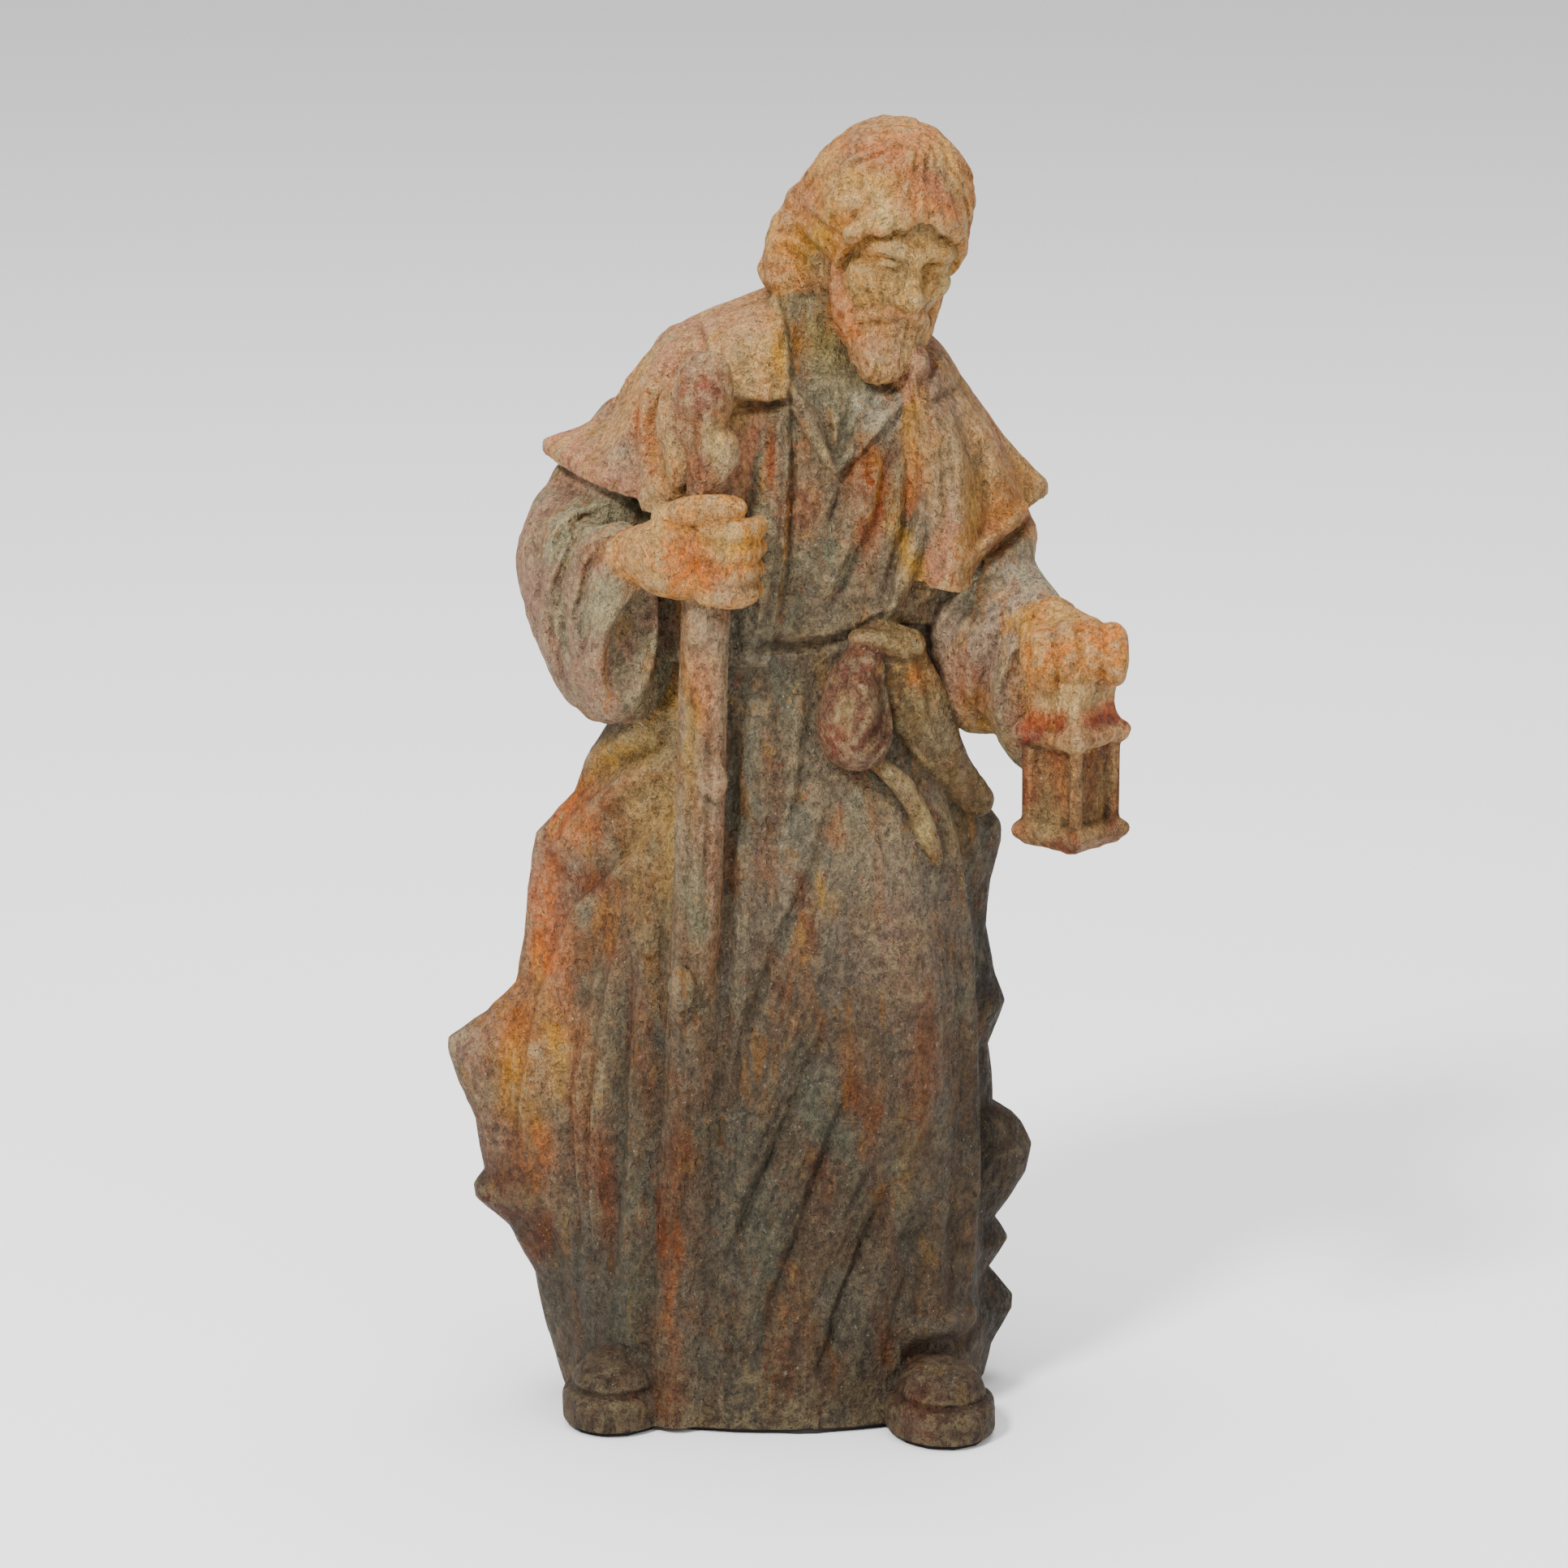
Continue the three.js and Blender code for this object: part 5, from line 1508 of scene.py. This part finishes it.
# Belt things and shoes
brush("pouch", [
    (CREAM, 0.4, 21, 222, 2.4, 9, -10),
    (MAROON, 0.7, 16, 214, 7, 6),
    (BROWN, 0.8, 30, 226, 5, 12),
])
brush("sash", [
    (ORANGE, 0.8, 43, 231, 3, 3.4),
    (OLIVE, 0.5, 46, 214, 6, 14, -20),
    (CREAM, 0.75, 38, 200, 4, 5, -50),
    (CREAM, 0.8, 45, 184, 4, 12, -10),
])
brush("shoe", [
    ("#705c52", 0.6, 50, 16, 14, 6),
    (MAROON, 0.75, 44, 8, 6, 8),
    ("#6f6254", 0.7, -48, 8, 18, 12),
    ("#6e5a50", 0.5, -46, 18, 10, 5),
])

# Stains over the whole figure: [width of a patch, width as a share of height, noise level that it
# starts from, strength, colour]
STAINS = [
    (0.013, 0.30, 0.55, 0.42, "#925a34"),
    (0.016, 0.40, 0.54, 0.30, "#8d7a6c"),
    (0.012, 0.40, 0.55, 0.30, LEAF_GREY),
    (0.010, 0.30, 0.58, 0.40, "#b67c42"),
    (0.006, 0.50, 0.60, 0.35, "#c09a62"),
    (0.0042, 0.70, 0.58, 0.45, RED_BROWN),
]
STAIN_FADE = 0.10
# Light and dark grain: [size, darkest share, lightest share]
GRAIN = [(0.0016, 0.62, 1.38), (0.0042, 0.82, 1.18)]
WORN_SIZE, RUBBED_SIZE, MOTTLE_SIZE = 0.018, 0.0032, 0.005
PIT_SIZE, GLINT_SIZE = 0.0016, 0.0013
FELT_FIBRE, FELT_DEPTH = 0.0006, 0.0003
# The pale of worn ridges, and the pale of specks painted in as glints
RUBBED_COLOUR, PAINTED_GLINT_COLOUR = map(linear, ("#d2bd98", "#d8ccb2"))
FELT_DARK, FELT_LIGHT = map(linear, ("#17161a", "#37342f"))
# Bumps of the skin: [size, depth]
GRAIN_BUMP, CELL_BUMP, SKIN_BUMP = (0.0016, 0.0028), (0.003, 0.0003), (0.0046, 0.0034)
REGION_SOFTNESS = 0.35
# Strokes of the brush: how far they waver in x and z, how firmly they end, how far back they reach
# and how much of them the second paint takes
STROKE_WAVER = (3.0, 5.0)
STROKE_FIRMNESS = 1.4
STROKES_END, STROKES_FULL = 30, 8
SECOND_PAINT_SHARE = 0.35
# Darkening low down, and painted shade on the mantle behind the left side; the share of the darkening that
# the bright mantle is spared; and the heights between which it builds up
LOW_DARKENING, BEHIND_PAINTED_SHADE, SPARED_DARKENING = 0.60, 0.30, 0.75
DARKENING_STARTS, DARKENING_FULL = 265, 70
# Hollows and ridges: the rounds of smoothing that show them, and then the depth or rise in steps
# at which one counts in full, and how much it counts
FINE_ROUNDS, BROAD_ROUNDS = 4, 40
FINE_HOLLOW, BROAD_HOLLOW = (0.40, 0.55), (3.6, 0.28)
FINE_RIDGE, BROAD_RIDGE = (0.30, 0.6), (2.2, 0.5)


def nearest_regions(points):
    """How much of each named region a point is, from the distances to the sculpt's groups."""
    low, high = points.min(0), points.max(0)
    names = list(REGION_PAINT)
    nearest = np.full((len(names), len(points)), FAR)
    for group in GROUPS:
        d = group.distance(points.astype(np.float32), low, high)
        row = names.index(group.name)
        nearest[row] = np.minimum(nearest[row], d)
    share = np.exp(-(nearest - nearest.min(0)) / REGION_SOFTNESS)
    return names, share / share.sum(0)


def paint_colours(points):
    """The two colours of old paint at each point."""
    names, share = nearest_regions(points)
    first = sum(share[i][:, None] * paint(REGION_PAINT[name][0]) for i, name in enumerate(names))
    second = sum(share[i][:, None] * paint(REGION_PAINT[name][1]) for i, name in enumerate(names))
    waver = np.stack([noise(points, 14.0, 3.0) + 0.5 * noise(points, 5.0, 1.0), noise(points, 14.0, 17.0)], 1)
    front = smooth(STROKES_END, STROKES_FULL, points[:, 1])
    for region, colour, strength, x, z, half_width, half_height, turn in BRUSHWORK:
        dx = points[:, 0] - x + STROKE_WAVER[0] * waver[:, 0]
        dz = points[:, 2] - z + STROKE_WAVER[1] * waver[:, 1]
        cos, sin = math.cos(turn), math.sin(turn)
        across, along = (dx * cos + dz * sin) / half_width, (dz * cos - dx * sin) / half_height
        weight = strength * np.exp(-((across**2 + along**2) ** STROKE_FIRMNESS)) * front
        if region != ANYWHERE:
            weight = weight * share[names.index(region)]
        first += (colour - first) * weight[:, None]
        second += (colour - second) * SECOND_PAINT_SHARE * weight[:, None]
    return first, second


def low_darkening_and_painted_shade(points):
    """The lower dress is darker; the mantle behind the figure's left side, which faces away from the light,
    is darker still with painted shade.
    """
    height = points[:, 2] + 10 * noise(points, 22.0, 3.0)
    behind = smooth(56, 66, points[:, 0]) * smooth(215, 185, height)
    spared = SPARED_DARKENING * smooth(-44, -60, points[:, 0]) * smooth(50, 110, height)
    low = LOW_DARKENING * (1 - spared) * smooth(DARKENING_STARTS, DARKENING_FULL, height)
    return (1 - low) * (1 - BEHIND_PAINTED_SHADE * behind)


def crevices(points, normals, edges):
    """Fine and broad hollows of the surface, positive where it is hollow, negative on ridges."""
    near = relax(points, edges, FINE_ROUNDS)
    far = relax(near, edges, BROAD_ROUNDS)
    fine = ((near - points) * normals).sum(1)
    broad = ((far - near) * normals).sum(1)
    return fine, broad


def add_attribute(mesh, name, values):
    if values.ndim == 1:
        layer = mesh.attributes.new(name, "FLOAT", "POINT")
        layer.data.foreach_set("value", values.astype(np.float32))
    else:
        layer = mesh.attributes.new(name, "FLOAT_COLOR", "POINT")
        rgba = np.column_stack([values, np.ones(len(values))]).astype(np.float32)
        layer.data.foreach_set("color", rgba.ravel())


def counted(depth, full, weight):
    return np.clip(depth / full, 0, 1) * weight


def paint_figure(piece, points):
    normals = mesh_normals(piece.data)
    edges = read_mesh(piece.data.edges, "vertices", 2, np.int32)
    first, second = paint_colours(points)
    fine, broad = crevices(points, normals, edges)
    add_attribute(piece.data, "shade", low_darkening_and_painted_shade(points))
    add_attribute(piece.data, "first_paint", first)
    add_attribute(piece.data, "second_paint", second)
    add_attribute(piece.data, "hollow", counted(fine, *FINE_HOLLOW) + counted(broad, *BROAD_HOLLOW))
    add_attribute(piece.data, "ridge", counted(-fine, *FINE_RIDGE) + counted(-broad, *BROAD_RIDGE))


class Shading:
    """Adds and links the nodes of one material in short calls."""

    def __init__(self, name):
        self.material = bpy.data.materials.new(name)
        self.material.use_nodes = True
        self.nodes = self.material.node_tree.nodes
        self.links = self.material.node_tree.links
        self.shader = self.nodes["Principled BSDF"]
        self.place = self.nodes.new("ShaderNodeTexCoord").outputs["Object"]

    def set(self, socket, value):
        if isinstance(value, bpy.types.NodeSocket):
            self.links.new(value, socket)
        elif hasattr(value, "__len__") and len(value) == 3 and socket.type == "RGBA":
            socket.default_value = (*value, 1)
        else:
            socket.default_value = value

    def attribute(self, name, output="Fac"):
        node = self.nodes.new("ShaderNodeAttribute")
        node.attribute_name = name
        return node.outputs[output]

    def stretch(self, x, y, z):
        node = self.nodes.new("ShaderNodeVectorMath")
        node.operation = "MULTIPLY"
        self.links.new(self.place, node.inputs[0])
        node.inputs[1].default_value = (x, y, z)
        return node.outputs[0]

    def noise(self, size, detail=4.0, roughness=0.55, distortion=0.0, place=None):
        """Noise from 0 to 1 with features of a size in metres."""
        node = self.nodes.new("ShaderNodeTexNoise")
        self.links.new(place or self.place, node.inputs["Vector"])
        node.inputs["Scale"].default_value = 1 / size
        node.inputs["Detail"].default_value = detail
        node.inputs["Roughness"].default_value = roughness
        node.inputs["Distortion"].default_value = distortion
        return node.outputs["Fac"]

    def cells(self, size):
        node = self.nodes.new("ShaderNodeTexVoronoi")
        self.links.new(self.place, node.inputs["Vector"])
        node.inputs["Scale"].default_value = 1 / size
        return node.outputs["Distance"]

    def between(self, value, low, high, to_low=0.0, to_high=1.0):
        node = self.nodes.new("ShaderNodeMapRange")
        node.interpolation_type = "SMOOTHSTEP"
        self.set(node.inputs["Value"], value)
        for name, number in (("From Min", low), ("From Max", high), ("To Min", to_low), ("To Max", to_high)):
            node.inputs[name].default_value = number
        return node.outputs["Result"]

    def math(self, operation, a, b):
        node = self.nodes.new("ShaderNodeMath")
        node.operation = operation
        self.set(node.inputs[0], a)
        self.set(node.inputs[1], b)
        return node.outputs[0]

    def mix(self, share, a, b, blend="MIX"):
        node = self.nodes.new("ShaderNodeMix")
        node.data_type = "RGBA"
        node.blend_type = blend
        self.set(node.inputs["Factor"], share)
        colours = [socket for socket in node.inputs if socket.type == "RGBA"]
        self.set(colours[0], a)
        self.set(colours[1], b)
        return next(socket for socket in node.outputs if socket.type == "RGBA")

    def dim(self, colour, share):
        """A colour times a number."""
        return self.mix(1.0, colour, self.mix(1.0, (1.0, 1.0, 1.0), share, "MULTIPLY"), "MULTIPLY")

    def bump(self, height, depth, below=None):
        node = self.nodes.new("ShaderNodeBump")
        node.inputs["Strength"].default_value = 1.0
        node.inputs["Distance"].default_value = depth
        self.links.new(height, node.inputs["Height"])
        if below is not None:
            self.links.new(below, node.inputs["Normal"])
        return node.outputs["Normal"]


def cast_material():
    """Old layered paint on a pitted casting."""
    s = Shading("painted_cast")
    first, second = s.attribute("first_paint", "Color"), s.attribute("second_paint", "Color")
    hollow, ridge, shade = (s.attribute(name) for name in ("hollow", "ridge", "shade"))
    worn = s.between(s.noise(WORN_SIZE, 3, 0.55, 0.6, s.stretch(1, 1, 0.6)), 0.42, 0.60, 0, 0.75)
    colour = s.mix(worn, first, second)
    for width, slimness, start, strength, stain in STAINS:
        patches = s.noise(width, 4, 0.6, 0.5, s.stretch(1, 1, slimness))
        patch = s.between(patches, start, start + STAIN_FADE, 0, strength)
        colour = s.mix(patch, colour, paint(stain))
    # Fine light and dark grain
    for size, dark, light in GRAIN:
        marks = s.between(s.noise(size, 3, 0.7, 0.2, s.stretch(1, 1, 0.7)), 0.30, 0.70, dark, light)
        colour = s.dim(colour, marks)
    # Worn pale ridges, grime with painted shade in the hollows, pits, and small pale specks that glint, with
    # their pale painted in as highlights
    rubbed = s.math("MULTIPLY", ridge, s.between(s.noise(RUBBED_SIZE, 5, 0.7), 0.42, 0.58))
    colour = s.mix(s.math("MULTIPLY", rubbed, 0.55), colour, RUBBED_COLOUR)
    # Darker low down, and painted shade on the mantle behind the figure's left side
    colour = s.dim(colour, shade)
    pits = s.between(s.noise(PIT_SIZE, 3, 0.6), 0.60, 0.68, 0, 0.35)
    hollow_grime_and_shade = s.math("MULTIPLY", hollow, s.between(s.noise(MOTTLE_SIZE, 5, 0.65), 0.3, 0.6, 0.6, 1.0))
    colour = s.mix(s.math("MULTIPLY", s.math("MAXIMUM", hollow_grime_and_shade, pits), 0.9), colour, SOOT_AND_SHADE)
    # Pale specks painted in as glints, which are also made shinier and less rough
    glints = s.between(s.noise(GLINT_SIZE, 2, 0.6, 0.0, s.stretch(1.1, 1, 1)), 0.66, 0.74)
    painted_glint = s.math("MULTIPLY", glints, s.math("MULTIPLY", shade, 0.4))
    colour = s.mix(painted_glint, colour, PAINTED_GLINT_COLOUR)
    s.set(s.shader.inputs["Base Color"], colour)
    dull = s.between(s.noise(MOTTLE_SIZE, 5, 0.65), 0.35, 0.65, 0.54, 0.80)
    s.set(s.shader.inputs["Roughness"], s.math("SUBTRACT", dull, s.math("MULTIPLY", glints, 0.2)))
    s.set(s.shader.inputs["Specular IOR Level"], s.between(glints, 0.0, 1.0, 0.16, 0.6))
    grain = s.bump(s.noise(GRAIN_BUMP[0], 4, 0.7, 0.0, s.stretch(1, 1, 0.7)), GRAIN_BUMP[1])
    pitting = s.bump(s.between(s.cells(CELL_BUMP[0]), 0.0, 0.45), CELL_BUMP[1], grain)
    s.set(s.shader.inputs["Normal"], s.bump(s.noise(SKIN_BUMP[0], 4, 0.6), SKIN_BUMP[1], pitting))
    return s.material


def felt_material():
    """Dark felt: short tangled fibres."""
    s = Shading("felt")
    fibres = s.noise(FELT_FIBRE, 6, 0.8, 1.5)
    s.set(s.shader.inputs["Base Color"], s.mix(fibres, FELT_DARK, FELT_LIGHT))
    s.set(s.shader.inputs["Roughness"], s.between(fibres, 0.2, 0.8, 0.9, 1.0))
    s.set(s.shader.inputs["Normal"], s.bump(fibres, FELT_DEPTH))
    return s.material


figure = sculpt_figure()
figure_points = weather_surface(figure)
paint_figure(figure, figure_points)
figure.data.materials.append(cast_material())
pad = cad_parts["base_pad"]
pad.material_slots[0].material = felt_material()

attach(figure, "root")
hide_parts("figure")

# Floor, light and camera, in metres and watts
FLOOR_HALF = 7.0
CAMERA_PLACE = Vector((0.0, -2.096, 0.722))
CAMERA_AIM = Vector((0.0027, 0.0, 0.1915))
CAMERA_LENS = 163.5
SENSOR_WIDTH = 36
WORLD_LIGHT = 0.75
# The lamps: [name, place, aim, width, power]
LAMPS = [
    ("key", (-1.0, -1.5, 2.0), (0, 0, 0.2), 0.5, 95),
    ("overhead", (0, 0.3, 2.2), (0, 0, 0), 1.6, 60),
    ("fill", (1.2, -1.6, 1.2), (0, 0, 0.2), 1.0, 14),
]


def studio_floor():
    corners = np.array([[-1, -1, 0], [1, -1, 0], [1, 1, 0], [-1, 1, 0]]) * FLOOR_HALF
    floor = bpy.data.objects.new("floor", make_mesh("floor", corners, np.array([[0, 1, 2, 3]])))
    bpy.context.scene.collection.objects.link(floor)
    s = Shading("floor_paint")
    s.set(s.shader.inputs["Base Color"], s.mix(s.noise(0.4), (0.86, 0.86, 0.865), (0.88, 0.88, 0.885)))
    s.set(s.shader.inputs["Roughness"], 0.9)
    floor.data.materials.append(s.material)


def aimed(name, data, place, aim):
    """Puts a camera or lamp in the scene and turns it to its aim."""
    thing = bpy.data.objects.new(name, data)
    thing.location = place
    thing.rotation_euler = (Vector(aim) - Vector(place)).to_track_quat("-Z", "Y").to_euler()
    bpy.context.scene.collection.objects.link(thing)
    return thing


def area_light(name, place, aim, width, power):
    data = bpy.data.lights.new(name, "AREA")
    data.shape = "DISK"
    data.size = width
    data.energy = power
    aimed(name, data, place, aim)


studio_floor()
camera_data = bpy.data.cameras.new("camera")
camera_data.lens = CAMERA_LENS
camera_data.sensor_width = SENSOR_WIDTH
bpy.context.scene.camera = aimed("camera", camera_data, CAMERA_PLACE, CAMERA_AIM)
for lamp in LAMPS:
    area_light(*lamp)
world = bpy.data.worlds.new("studio")
world.use_nodes = True
background = world.node_tree.nodes["Background"]
background.inputs["Color"].default_value = (1, 1, 1, 1)
background.inputs["Strength"].default_value = WORLD_LIGHT
bpy.context.scene.world = world
